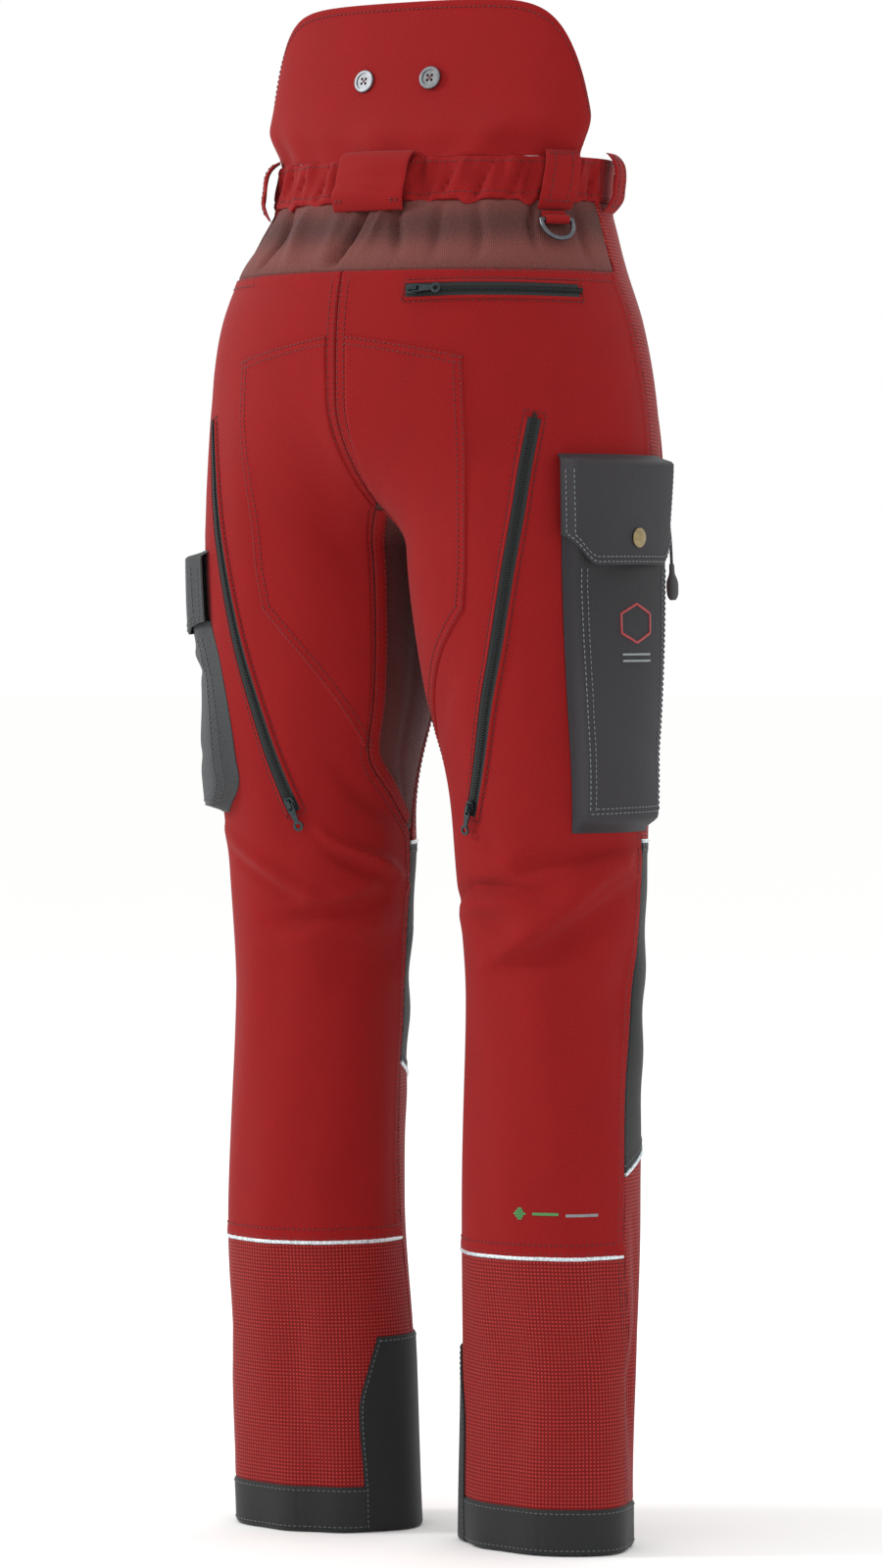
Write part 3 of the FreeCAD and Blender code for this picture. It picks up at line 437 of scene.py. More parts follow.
tone = node(softshell, "MapRange", {"Value": tone.outputs[0], "From Min": 0.35, "From Max": 0.95})
shade = node(softshell, "Mix", {0: tone.outputs[0], 6: linear("#7A1012"),
                                7: linear("#931A1B")}, data_type="RGBA")
depth = node(softshell, "Math", {0: rib.outputs["Fac"], 1: fleck.outputs["Fac"]},
             operation="ADD")
relief = node(softshell, "Bump", {"Strength": 0.35, "Distance": 0.0002,
                                  "Height": depth.outputs[0]})
dry = node(softshell, "MapRange", {"Value": cloud.outputs["Fac"], "To Min": 0.76, "To Max": 0.9})
wire(softshell, shade.outputs[2], dry.outputs[0], relief.outputs["Normal"])



def mottled(name, dark, light, roughness, scale, detail=2.0, **sockets):
    """A fine even mottle of two shades, for thread and plated metal."""
    material = finish(name, light, roughness, **sockets)
    place_on = node(material, "TexCoord")
    mottle = node(material, "TexNoise", {"Vector": place_on.outputs["Object"], "Scale": scale,
                                         "Detail": detail})
    shade = node(material, "Mix", {0: mottle.outputs["Fac"], 6: linear(dark), 7: linear(light)},
                 data_type="RGBA")
    wire(material, shade.outputs[2])
    return material


# Polyester sewing thread, waxed: a shade deeper than the cloth, with a small shine. Its plies
# are 1 mm long.
THREAD_PLY = 900.0
red_thread = mottled("red_polyester_thread", "#45090C", "#6A1418", 0.5, THREAD_PLY,
                     Sheen_Weight=0.05)


def seam_at(seam, height):
    """The angle of a seam at heights."""
    return station([(h, a) for a, h in seam], height, 1)


def centre_seam(height, front=False):
    """The leg angle at which the body shape meets the centre plane, by halving."""
    low = np.full(np.shape(height), -150.0 if front else -30.0)
    high = np.full(np.shape(height), -91.0 if front else -89.0)
    for _ in range(30):
        middle = (low + high) / 2
        clear = leg_xy(middle, height)[0] > 0.15
        low, high = np.where(clear, middle, low), np.where(clear, high, middle)
    return (low + high) / 2


def back_inner(height):
    """The back panel's inner edge: inner seam, gusset, then the centre-back seam."""
    height = np.asarray(height, float)
    return np.where(height < 560, seam_at(INNER_SEAM, height),
                    np.where(height < 818, seam_at(GUSSET_BACK, height), centre_seam(height)))


def side_seam(height):
    return seam_at(SIDE_SEAM, np.asarray(height, float))


def shares(length, cell):
    """Even cells of a length, with finer ones along both edges for the rolled cloth."""
    edge = np.array([0, 0.5, 1.1, 1.9, 3.0])
    edge = edge[edge < length / 3]
    count = max(2, round((length - 2 * edge[-1]) / cell) + 1)
    middle = np.linspace(edge[-1], length - edge[-1], count)
    return np.concatenate([edge[:-1], middle, (length - edge[:-1])[::-1]]) / length


def spread(left, right, across):
    """Angles and heights between two edge lines."""
    left, right = np.asarray(left, float)[:, None], np.asarray(right, float)[:, None]
    grid = left + (right - left) * across[None, :, None]
    return grid[..., 0], grid[..., 1]


def run_lengths(points, axis):
    """How far along each row or column of points each point is, in mm."""
    steps = np.linalg.norm(np.diff(points, axis=axis), axis=-1) * 1000
    return np.cumsum(np.insert(steps, 0, 0, axis=axis), axis=axis)


def two_faces(plain, out, face, thick):
    """The outer and inner faces of a cloth whose outer face is some mm above the body shape."""
    return (plain + out * (face / 1000)[..., None],
            plain + out * ((face - thick) / 1000)[..., None])


def level(start, end, height, count):
    """A level line of (angle, height) points."""
    return np.stack([np.linspace(start, end, count), np.full(count, float(height))], -1)


def new_mesh(name, points, faces, material, cut_map=None, body="trousers", crease=50):
    """A mesh piece with its finish, its map of cut-cloth millimetres, and its body."""
    mesh = bpy.data.meshes.new(name)
    mesh.from_pydata(np.asarray(points).tolist(), [], faces)
    mesh.materials.append(material)
    if cut_map is not None:
        layer = mesh.uv_layers.new(name="cut")
        corners = np.empty(len(mesh.loops), dtype=np.int32)
        mesh.loops.foreach_get("vertex_index", corners)
        layer.data.foreach_set("uv", np.asarray(cut_map, dtype=np.float32)[corners].ravel())
    mesh.shade_smooth()
    if crease:
        mesh.set_sharp_from_angle(angle=math.radians(crease))
    piece = bpy.data.objects.new(name, mesh)
    bpy.context.scene.collection.objects.link(piece)
    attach(piece, body)
    return piece


def skins(name, outer, inner, side, material, ring=False, body="trousers", cut_map=None):
    """Closes two grids of points into one piece of cloth with real edges."""
    rows, columns = outer.shape[:2]
    index = np.arange(rows * columns).reshape(rows, columns)
    wrapped = np.hstack([index, index[:, :1]]) if ring else index
    a, b = wrapped[:-1, :-1].ravel(), wrapped[1:, :-1].ravel()
    c, d = wrapped[1:, 1:].ravel(), wrapped[:-1, 1:].ravel()
    front = np.stack([a, b, c, d], -1) if side > 0 else np.stack([a, d, c, b], -1)
    count = rows * columns
    loops = ([wrapped[-1], wrapped[0][::-1]] if ring else
             [np.concatenate([index[:, 0], index[-1, 1:], index[-2::-1, -1], index[0, -2::-1]])])
    rims = []
    for loop in loops:
        p, q = loop[:-1], loop[1:]
        rims.append(np.stack([q, p, p + count, q + count], -1) if side > 0
                    else np.stack([p, q, q + count, p + count], -1))
    faces = np.concatenate([front, front[:, ::-1] + count, *rims]).tolist()
    if cut_map is None:
        across = run_lengths(outer, 1)
        cut_map = np.stack([across - across[:, -1:] / 2, run_lengths(outer, 0)], -1)
    flat = np.asarray(cut_map).reshape(-1, 2)
    points = np.concatenate([outer.reshape(-1, 3), inner.reshape(-1, 3)])
    return new_mesh(name, points, faces, material, np.concatenate([flat, flat]), body)


def ridge(distance, height=0.0, width=8.5):
    """The face of a panel beside its seam: it rolls into the seam, and a felled seam is thicker."""
    roll = -0.85 * np.exp(-(distance / 0.8) ** 2)
    return roll + height * smooth(distance / 1.2) * (1 - smooth((distance - width) / 1.4))


def pucker(run, distance):
    """Small ripples where the stitches draw the cloth up."""
    wave = np.sin(run * 0.78) + 0.7 * np.sin(run * 0.47 + 1.3) + 0.4 * np.sin(run * 1.31)
    return 0.22 * wave * np.exp(-distance / 5.5) * smooth(distance / 1.5)


def panel(name, side, left, right, low, high, material, replaces, felled=(0, 0, 0, 0),
          cell=3.4, lift=0.0, thick=FACE_CLOTH, puckered=1.0):
    """A sewn panel between two edges, each a seam or an angle, and two heights (or pairs)."""
    def edge_line(edge, which, rows):
        ends = [value[which] if isinstance(value, tuple) else value for value in (low, high)]
        heights = ends[0] + (ends[1] - ends[0]) * rows
        return np.stack([edge(heights) if callable(edge) else np.full_like(heights, edge), heights], -1)

    coarse = np.linspace(0, 1, 12)
    angle, height = spread(edge_line(left, 0, coarse), edge_line(right, 1, coarse), coarse)
    points, _ = on_cloth(PLAIN_LEG, side, angle, height)
    wide, tall = run_lengths(points, 1)[:, -1].max(), run_lengths(points, 0)[-1].max()
    rows, across = shares(tall, cell), shares(wide, cell)
    angle, height = spread(edge_line(left, 0, rows), edge_line(right, 1, rows), across)
    plain, out = on_cloth(PLAIN_LEG, side, angle, height)
    u, v = run_lengths(plain, 1), run_lengths(plain, 0)
    from_right, from_top = u[:, -1:] - u, v[-1:] - v
    face = np.zeros_like(u)
    for distance, run, thickness in ((u, v, felled[0]), (from_right, v, felled[1]),
                                     (v, u, felled[2]), (from_top, u, felled[3])):
        face = face + ridge(distance, thickness) + puckered * pucker(run, distance)
    base = lift + leg_folds(side, angle, height)
    outer = plain + out * ((base + face) / 1000)[..., None]
    inner = plain + out * ((base - thick) / 1000)[..., None]
    piece = skins(name, outer, inner, side, material,
                  cut_map=np.stack([u - u[:, -1:] / 2, v], -1))
    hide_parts(*replaces)


def beside(cloth, side, line, distance):
    """A line moved sideways over the cloth by some mm."""
    line = np.asarray(line, float)
    if not distance:
        return line
    right, _ = on_cloth(cloth, side, line[:, 0] + 0.5, line[:, 1])
    left, _ = on_cloth(cloth, side, line[:, 0] - 0.5, line[:, 1])
    per_degree = np.linalg.norm(right - left, axis=-1) * 1000
    run = np.gradient(line, axis=0) * np.stack([per_degree, np.ones_like(per_degree)], -1)
    run /= np.linalg.norm(run, axis=-1, keepdims=True)
    return line + np.stack([-run[:, 1] / per_degree, run[:, 0]], -1) * distance


def frames(cloth, side, line, pitch, lift=0.0, start=0.5):
    """Even places along a line: points and the directions ahead, across and outwards."""
    line = np.asarray(line, float)
    points, _ = on_cloth(cloth, side, line[:, 0], line[:, 1], lift)
    run = run_lengths(points, 0)
    at = np.arange(pitch * start, run[-1], pitch)
    angle, height = np.interp(at, run, line[:, 0]), np.interp(at, run, line[:, 1])
    middle, out = on_cloth(cloth, side, angle, height, lift)
    ahead = np.stack([np.interp(at + 1, run, points[:, k]) - np.interp(at - 1, run, points[:, k])
                      for k in range(3)], -1)
    ahead /= np.linalg.norm(ahead, axis=-1, keepdims=True)
    out = out - ahead * (out * ahead).sum(-1, keepdims=True)
    out /= np.linalg.norm(out, axis=-1, keepdims=True)
    return middle, ahead, np.cross(out, ahead), out


def scatter(name, template, faces, places, material, slot=None, body="trousers", crease=None):
    """Copies of a small shape (mm: ahead, across, out) at every place, as one piece."""
    template = np.asarray(template, float) / 1000
    points, all_faces, count = [], [], 0
    for middle, ahead, across, out in places:
        copies = (middle[:, None] + template[None, :, :1] * ahead[:, None]
                  + template[None, :, 1:2] * across[:, None] + template[None, :, 2:] * out[:, None])
        points.append(copies.reshape(-1, 3))
        shift = (np.arange(len(middle)) * len(template) + count)[:, None]
        for polygon in faces:
            all_faces += (np.array(polygon)[None] + shift).tolist()
        count += copies.shape[0] * copies.shape[1]
    return new_mesh(name, np.concatenate(points), all_faces, material, None, body, crease)


def thread_shape(length=STITCH, radius=0.42):
    """One stitch: a stubby thread that rises between its two needle holes."""
    points = [(-length / 2, 0, -0.35)]
    for x, z in ((-length * 0.36, 0.12), (length * 0.36, 0.12)):
        points += [(x, radius * math.cos(k * math.pi / 3), z + radius * math.sin(k * math.pi / 3))
                   for k in range(6)]
    points.append((length / 2, 0, -0.35))
    faces = [(0, 1 + (k + 1) % 6, 1 + k) for k in range(6)]
    faces += [(1 + k, 1 + (k + 1) % 6, 7 + (k + 1) % 6, 7 + k) for k in range(6)]
    faces += [(13, 7 + k, 7 + (k + 1) % 6) for k in range(6)]
    return points, faces


def sew(name, rows, material, slot="red_softshell", body="trousers"):
    """Rows of stitches, each (cloth, side, line, distance beside it, lift)."""
    places = [frames(cloth, side, beside(cloth, side, line, distance), STITCH_PITCH, lift)
              for cloth, side, line, distance, lift in rows]
    return scatter(name, *thread_shape(), places, material, slot, body)


def seam_line(edge, low, high, pitch=4.0):
    """A seam as a line of (angle, height) points."""
    heights = np.linspace(low, high, max(8, round((high - low) / pitch)))
    return np.stack([edge(heights) if callable(edge) else np.full_like(heights, edge), heights], -1)


leg_stitches = []
for side, word in ((1, "left"), (-1, "right")):
    panel("back_leg_panel_" + word, side, back_inner, side_seam, CALF_SEAM, YOKE_LOW, softshell,
          ["back_leg_" + word], felled=(0.5, 0.7, 0.7, 0.5))
    side_line = seam_line(side_seam, CALF_SEAM + 2, YOKE_LOW - 2)
    inner_line = seam_line(back_inner, CALF_SEAM + 2, YOKE_LOW - 3)
    calf_line = level(-103, 83, CALF_SEAM, 60)
    for distance in (1.8, 7.4):
        leg_stitches += [(LEG_CLOTH, side, side_line, distance, 0.45),
                         (LEG_CLOTH, side, inner_line, -distance, 0.4)]
    for distance in (3.6, 10.6):
        leg_stitches.append((LEG_CLOTH, side, calf_line, distance, 0.3))
sew("back_leg_stitching", leg_stitches, red_thread)

# The seat is doubled by a patch of the same softshell, its edges turned under and double-stitched.
seat_stitches = []
PATCH_ROWS, PATCH_INNER, PATCH_OUTER, PATCH_MARGIN = 90, (624, 950), (737, 933), 2.5
for side, word in ((1, "left"), (-1, "right")):
    inner_h, outer_h = np.linspace(*PATCH_INNER, PATCH_ROWS), np.linspace(*PATCH_OUTER, PATCH_ROWS)
    left = np.stack([back_inner(inner_h) + PATCH_MARGIN, inner_h], -1)
    right = np.stack([seam_at(SEAT_SIDE, outer_h), outer_h], -1)
    across = shares(95, 3.4)
    angle, height = spread(left, right, across)
    plain, out = on_cloth(PLAIN_LEG, side, angle, height)
    u, v = run_lengths(plain, 1), run_lengths(plain, 0)
    edge = np.minimum(np.minimum(u, u[:, -1:] - u), np.minimum(v, v[-1:] - v))
    rise = leg_folds(side, angle, height)
    face = 1.25 + ridge(edge, 0.35, 7.5) * smooth(edge / 0.6) + 0.6 * pucker(u + v, edge)
    face = np.where(edge < 0.7, 0.5 + 0.9 * edge, face)
    outer, inner = two_faces(plain, out, rise + face, face - 0.15)
    piece = skins("seat_patch_panel_" + word, outer, inner, side, softshell,
                  cut_map=np.stack([u, v], -1))
    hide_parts("seat_patch_" + word)
    top = np.stack([angle[-1], height[-1]], -1)
    bottom = np.stack([angle[0], height[0]], -1)
    for distance in (2.0, 7.0):
        seat_stitches += [(LEG_CLOTH, side, right, distance, 1.5),
                          (LEG_CLOTH, side, bottom, distance, 1.5),
                          (LEG_CLOTH, side, top, -distance, 1.5)]
sew("seat_patch_stitching", seat_stitches, red_thread)

# ---------------------------------------------------------------- calves, thighs and knees
# Below the knee and over the front of the thighs the cloth is a lighter red ripstop; the knees and
# the inside of the hems are hard-wearing textured nylon, all felled to the softshell.
GUSSET_FRONT = [(-109, 560), (-118, 600), (-121, 660), (-124, 717), (-127, 780), (-129, 818)]
KNEE_OUTER, KNEE_INNER, INNER_ANGLE = (296, 556), (374, 550), 256
KICK_FRONT, KICK_EDGE = -150, [(-60, 37), (-58, 100), (-64, 128), (-72, 156)]

# Ripstop: thick yarns cross a thin plain weave in a raised grid, darker than the squares between.
# The grid is 2.6 mm, drawn at 2.9 mm.
GRID = 2.9
ripstop = finish("red_ripstop_polyester", "#B8352F", 0.7, Sheen_Weight=0.04,
                 Specular_IOR_Level=0.15)
cut = node(ripstop, "UVMap", uv_map="cut")
axes = node(ripstop, "SeparateXYZ", {"Vector": cut.outputs["UV"]})
waves = []
for axis in ("X", "Y"):
    turn = node(ripstop, "Math", {0: axes.outputs[axis], 1: 2 * math.pi / GRID},
                operation="MULTIPLY")
    wave = node(ripstop, "Math", {0: turn.outputs[0]}, operation="COSINE")
    waves.append(node(ripstop, "MapRange", {"Value": wave.outputs[0], "From Min": -0.35,
                                            "From Max": 0.75}))
squares = node(ripstop, "Math", {0: waves[0].outputs[0], 1: waves[1].outputs[0]},
               operation="MULTIPLY")
slub = node(ripstop, "TexNoise", {"Vector": cut.outputs["UV"], "Scale": 0.25, "Detail": 4.0})
light = node(ripstop, "Mix", {0: slub.outputs["Fac"], 6: linear("#AC2A22"),
                              7: linear("#C8433A")}, data_type="RGBA")
shade = node(ripstop, "Mix", {0: squares.outputs[0], 6: linear("#6E0F12"),
                              7: light.outputs[2]}, data_type="RGBA")
relief = node(ripstop, "Bump", {"Strength": 0.4, "Distance": 0.0003,
                                "Height": squares.outputs[0]}, invert=True)
wire(ripstop, shade.outputs[2], None, relief.outputs["Normal"])

# Textured nylon: coarse plain weave of air-bulked yarn, nearly black, dry, with paler knots where
# the yarns cross. The weave is 0.7 mm, drawn at 1.6 mm.
WEAVE = 1.6
cordura = finish("charcoal_textured_nylon", "#2C2D2E", 0.78, Sheen_Weight=0.1,
                 Specular_IOR_Level=0.3)
cut = node(cordura, "UVMap", uv_map="cut")
axes = node(cordura, "SeparateXYZ", {"Vector": cut.outputs["UV"]})
waves = []
for axis in ("X", "Y"):
    turn = node(cordura, "Math", {0: axes.outputs[axis], 1: 2 * math.pi / WEAVE},
                operation="MULTIPLY")
    waves.append(node(cordura, "Math", {0: turn.outputs[0]}, operation="SINE"))
knots = node(cordura, "Math", {0: waves[0].outputs[0], 1: waves[1].outputs[0]},
             operation="MULTIPLY")
bulk = node(cordura, "TexNoise", {"Vector": cut.outputs["UV"], "Scale": 0.7, "Detail": 3.0})
height_of = node(cordura, "Math", {0: knots.outputs[0], 1: 0.35, 2: bulk.outputs["Fac"]},
                 operation="MULTIPLY_ADD")
shade = node(cordura, "Mix", {0: height_of.outputs[0], 6: linear("#0E0F10"),
                              7: linear("#202223")}, data_type="RGBA")
relief = node(cordura, "Bump", {"Strength": 0.6, "Distance": 0.0003,
                                "Height": height_of.outputs[0]})
wire(cordura, shade.outputs[2], None, relief.outputs["Normal"])

# Hem cloth: the same nylon in a finer plain weave, slightly greyer.
hem_cloth = cordura.copy()
hem_cloth.name = "charcoal_plain_nylon"
for made in hem_cloth.node_tree.nodes:
    if made.bl_idname == "ShaderNodeMix":
        made.inputs[6].default_value = linear("#161718")
        made.inputs[7].default_value = linear("#2A2B2C")

grey_thread = mottled("grey_polyester_thread", "#34373A", "#5E6265", 0.5, THREAD_PLY,
                      Sheen_Weight=0.2)


def front_inner(height):
    """The front panel's inner edge, counted on past 180 degrees."""
    height = np.asarray(height, float)
    return 360 + np.where(height < 818, seam_at(GUSSET_FRONT, height), centre_seam(height, True))


front_stitches, knee_stitches, hem_stitches = [], [], []
for side, word in ((1, "left"), (-1, "right")):
    panel("calf_ripstop_panel_" + word, side, back_inner, side_seam, HEM_BAND, CALF_SEAM, ripstop,
          ["calf_panel_" + word], felled=(0.2, 0.4, 0, 0))
    panel("front_thigh_ripstop_panel_" + word, side, side_seam, front_inner,
          (KNEE_OUTER[1], KNEE_INNER[1]), BAND_LOW, ripstop,
          ["front_thigh_" + word], felled=(0, 0.3, 0, 0.3), cell=4.2)
    panel("knee_nylon_panel_" + word, side, side_seam, INNER_ANGLE, (KNEE_OUTER[0], KNEE_INNER[0]),
          (KNEE_OUTER[1], KNEE_INNER[1]), cordura, ["knee_panel_" + word],
          felled=(0, 0, 0.5, 0.5), cell=4.0)
    panel("shin_ripstop_panel_" + word, side, side_seam, INNER_ANGLE, HEM_BAND,
          (KNEE_OUTER[0], KNEE_INNER[0]), ripstop, ["shin_panel_" + word],
          felled=(0, 0.2, 0, 0), cell=4.2)
    for k, distance in ((0, 2.6), (0, 7.0), (1, -2.6), (1, -7.0)):
        a0 = float(side_seam(KNEE_OUTER[k])) + 1
        line = np.linspace((a0, KNEE_OUTER[k]), (INNER_ANGLE - 1, KNEE_INNER[k]), 50)
        knee_stitches.append((LEG_CLOTH, side, line, distance, 0.3))
    for distance in (1.8, 7.0):
        front_stitches.append((LEG_CLOTH, side, seam_line(side_seam, HEM_BAND + 2, CALF_SEAM - 4),
                               distance, 0.2))
        front_stitches.append((LEG_CLOTH, side, seam_line(front_inner, 562, 1050), distance, 0.3))
sew("ripstop_stitching", front_stitches, red_thread)
sew("knee_stitching", knee_stitches, grey_thread, "charcoal_cordura")

# The hems are doubled bands of plain nylon turned under the leg, joined at the inner seam, with
# a second join at the back; the kick guards inside them take the knocks of the other boot.
BAND_JOIN = {1: -10, -1: 27}
for side, word in ((1, "left"), (-1, "right")):
    angles = np.linspace(INNER_ANGLE - 360, INNER_ANGLE, 161)[:-1]
    rows = HEM_BAND * shares(HEM_BAND, 3.2)
    angle, height = np.meshgrid(angles, rows)
    plain, out = on_cloth(PLAIN_LEG, side, angle, height)
    rise = leg_folds(side, angle, height)
    face = (0.95 - 1.6 * np.exp(-(height / 1.4) ** 2)
            - 1.3 * np.exp(-((HEM_BAND - height) / 0.9) ** 2))
    for join in (BAND_JOIN[side], INNER_ANGLE - 360):
        face -= 0.9 * np.exp(-((angle - join) * MM_PER_DEGREE / 0.9) ** 2)
    face += 0.12 * np.sin(angle * 0.9) * np.exp(-((height - 8) / 5) ** 2)
    outer = plain + out * ((rise + face) / 1000)[..., None]
    inner = plain + out * ((rise - FACE_CLOTH) / 1000)[..., None]
    u = run_lengths(plain, 1)
    piece = skins("hem_band_cloth_" + word, outer, inner, side, hem_cloth, ring=True,
                  cut_map=np.stack([u, height], -1))
    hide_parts("hem_band_" + word)
    for at in (HEM_BAND - 3.0, 4.0):
        line = np.stack([angles, np.full_like(angles, at)], -1)
        hem_stitches.append((LEG_CLOTH, side, line, 0, 1.0))
sew("hem_stitching", hem_stitches, grey_thread, "hem_cloth")

guard_stitches = []
for side, word in ((1, "left"), (-1, "right")):
    panel("kick_guard_panel_" + word, side, KICK_FRONT, lambda h: seam_at(KICK_EDGE, h), 0.5, 156,
          cordura, ["kick_guards"] if side > 0 else [], lift=1.9, thick=1.2,
          puckered=0.5)
    edge = seam_line(lambda h: seam_at(KICK_EDGE, h), 2, 154)
    top = level(KICK_FRONT + 1, -73, 154, 30)
    guard_stitches += [(LEG_CLOTH, side, edge, 2.4, 1.9), (LEG_CLOTH, side, top, -1.2, 1.9)]
sew("kick_guard_stitching", guard_stitches, grey_thread, "charcoal_cordura")

# ---------------------------------------------------------------- reflective piping
# Bead piping of glass-bead film over a cord, caught in the calf seam and both knee seams: silver
# grey, finely grained, brighter along its crown.
piping_film = finish("glass_bead_film", "#C9D6DC", 0.36, Metallic=0.25, Specular_IOR_Level=0.6)
place_on = node(piping_film, "TexCoord")
beads = node(piping_film, "TexNoise", {"Vector": place_on.outputs["Object"], "Scale": 1600.0})
cracks = node(piping_film, "TexVoronoi", {"Vector": place_on.outputs["Object"], "Scale": 260.0},
              feature="DISTANCE_TO_EDGE")
worn = node(piping_film, "MapRange", {"Value": cracks.outputs["Distance"], "From Max": 0.12})
shade = node(piping_film, "Mix", {0: worn.outputs[0], 6: linear("#A3B2B9"),
                                  7: linear("#DCE6EA")}, data_type="RGBA")
relief = node(piping_film, "Bump", {"Strength": 0.3, "Distance": 0.0001,
                                    "Height": beads.outputs["Fac"]})
wire(piping_film, shade.outputs[2], None, relief.outputs["Normal"])


def swept(name, cloth, side, line, section, material, step=2.0):
    """A strip of a given section (mm across, mm out) along a line on the cloth."""
    points, _, across, out = frames(cloth, side, line, step, 0.0, start=0.0)
    section = np.asarray(section, float)
    grid = points[:, None] + (across[:, None] * section[:, :1] + out[:, None] * section[:, 1:]) / 1000
    rows, columns = grid.shape[:2]
    index = np.arange(rows * columns).reshape(rows, columns)
    nxt = np.roll(index, -1, 1)
    a, b, c, d = index[:-1].ravel(), index[1:].ravel(), nxt[1:].ravel(), nxt[:-1].ravel()
    faces = np.stack([a, d, c, b], -1).tolist() + [index[0][::-1].tolist(), index[-1].tolist()]
    around = np.cumsum(np.linalg.norm(np.diff(section, axis=0, prepend=section[:1]), axis=-1))
    flat = np.stack(np.meshgrid(around, run_lengths(points, 0)), -1).reshape(-1, 2)
    return new_mesh(name, grid.reshape(-1, 3), faces, material, flat, crease=40)


BEAD = [(-1.7, -0.3), (-1.5, 0.6), (-0.9, 1.35), (0, 1.65), (0.9, 1.35), (1.5, 0.6), (1.7, -0.3)]
for side, word in ((1, "left"), (-1, "right")):
    lines = {"calf": level(-103, 83.5, CALF_SEAM, 70)}
    for k, spot in ((0, "knee_low"), (1, "knee_high")):
        a0 = float(side_seam(KNEE_OUTER[k])) + 0.5
        lines[spot] = np.linspace((a0, KNEE_OUTER[k]), (INNER_ANGLE - 0.5, KNEE_INNER[k]), 70)
    for spot, line in lines.items():
        piece = swept(f"{spot}_piping_{word}", LEG_CLOTH, side, line, BEAD, piping_film)
        if side > 0 and spot == "calf":
            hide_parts("reflective_piping")

# ---------------------------------------------------------------- gusset
# A curved gusset of dark brown-red air mesh joins the legs at the crotch. It is bound by a
# softshell band with two rows of stitches, and a piped fold runs down its middle.
mesh_cloth = finish("air_mesh", "#4A2220", 0.85, Sheen_Weight=0.1, Specular_IOR_Level=0.2)
cut = node(mesh_cloth, "UVMap", uv_map="cut")
holes = node(mesh_cloth, "TexVoronoi", {"Vector": cut.outputs["UV"], "Scale": 0.55,
                                        "Randomness": 0.15})
hole = node(mesh_cloth, "MapRange", {"Value": holes.outputs["Distance"], "From Min": 0.15,
                                     "From Max": 0.5})
shade = node(mesh_cloth, "Mix", {0: hole.outputs[0], 6: linear("#361413"),
                                 7: linear("#5E2623")}, data_type="RGBA")
relief = node(mesh_cloth, "Bump", {"Strength": 0.7, "Distance": 0.0005,
                                   "Height": hole.outputs[0]})
wire(mesh_cloth, shade.outputs[2], None, relief.outputs["Normal"])


def crotch_height(angle):
    """The height at which the body shape at an angle reaches the centre plane."""
    low, high = np.full(np.shape(angle), 700.0), np.full(np.shape(angle), 860.0)
    for _ in range(30):
        middle = (low + high) / 2
        clear = leg_xy(angle, middle)[0] > 0.15
        low, high = np.where(clear, middle, low), np.where(clear, high, middle)
    return low


BINDING = [(-5.2, 0.1), (-5.2, 1.0), (-4.4, 1.5), (4.4, 1.5), (5.2, 1.0), (5.2, 0.1)]
gusset_stitches = []
for side, word in ((1, "left"), (-1, "right")):
    rows, across = shares(250, 3.6), shares(90, 3.6)
    first, last = GUSSET_BACK[-1][0], GUSSET_FRONT[-1][0]
    top = crotch_height(first + (last - first) * across)
    height = 562 + (top[None] - 562) * rows[:, None]
    a0, a1 = seam_at(GUSSET_BACK, height), seam_at(GUSSET_FRONT, height)
    angle = a0 + (a1 - a0) * across[None]
    plain, out = on_cloth(PLAIN_LEG, -side, angle, height)
    u, v = run_lengths(plain, 1), run_lengths(plain, 0)
    swell = np.sin(math.pi * rows)[:, None]
    sag = 2.2 * np.sin(math.pi * across)[None] * np.sin(6 * v / v.max()) * swell
    fold = 2.0 * np.exp(-(((across[None] - 0.42) * 60) / 3) ** 2) * swell
    edge = np.minimum(u, u[:, -1:] - u)
    face = ridge(edge, 0) + pucker(v, edge) + sag - fold * 0.6
    outer, inner = two_faces(plain, out, face, FACE_CLOTH)
    outer[..., 0] *= -1
    inner[..., 0] *= -1
    piece = skins("gusset_mesh_" + word, outer, inner, -side, mesh_cloth,
                  cut_map=np.stack([u, v], -1))
    if side > 0:
        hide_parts("crotch_gusset")
    band = seam_line(lambda h: seam_at(GUSSET_BACK, h), 566, 815)
    swept("gusset_binding_" + word, LEG_CLOTH, side, beside(LEG_CLOTH, side, band, 5.0), BINDING,
          softshell)
    for distance in (1.2, 8.8):
        gusset_stitches.append((LEG_CLOTH, side, band, distance, 1.55))
    front_band = seam_line(lambda h: seam_at(GUSSET_FRONT, h), 566, 815)
    gusset_stitches.append((LEG_CLOTH, side, front_band, -2.0, 0.3))
sew("gusset_stitching", gusset_stitches, red_thread)

# Inside, the centre seam is bound with a strip of the shell that closes it where the seat parts.
SEAM_STRIP_HALF, SEAM_STRIP_DEPTH, SEAM_STRIP_THICK = 5.0, 2.2, 0.8
for name, front, top in (("centre_back_seam_binding", False, 998),
                         ("centre_front_seam_binding", True, 1052)):
    height = np.linspace(816, top, 60)[:, None] + np.zeros((1, 5))
    y = leg_shape(centre_seam(height, front), height)[..., 1]
    inward = 1 if front else -1
    x = np.zeros_like(y) + np.linspace(inward, -inward, 5) * SEAM_STRIP_HALF
    outer, inner = (np.stack([x, y + inward * depth, height - WAIST], -1) / 1000
                    for depth in (SEAM_STRIP_DEPTH, SEAM_STRIP_DEPTH + SEAM_STRIP_THICK))
    skins(name, outer, inner, 1, softshell)

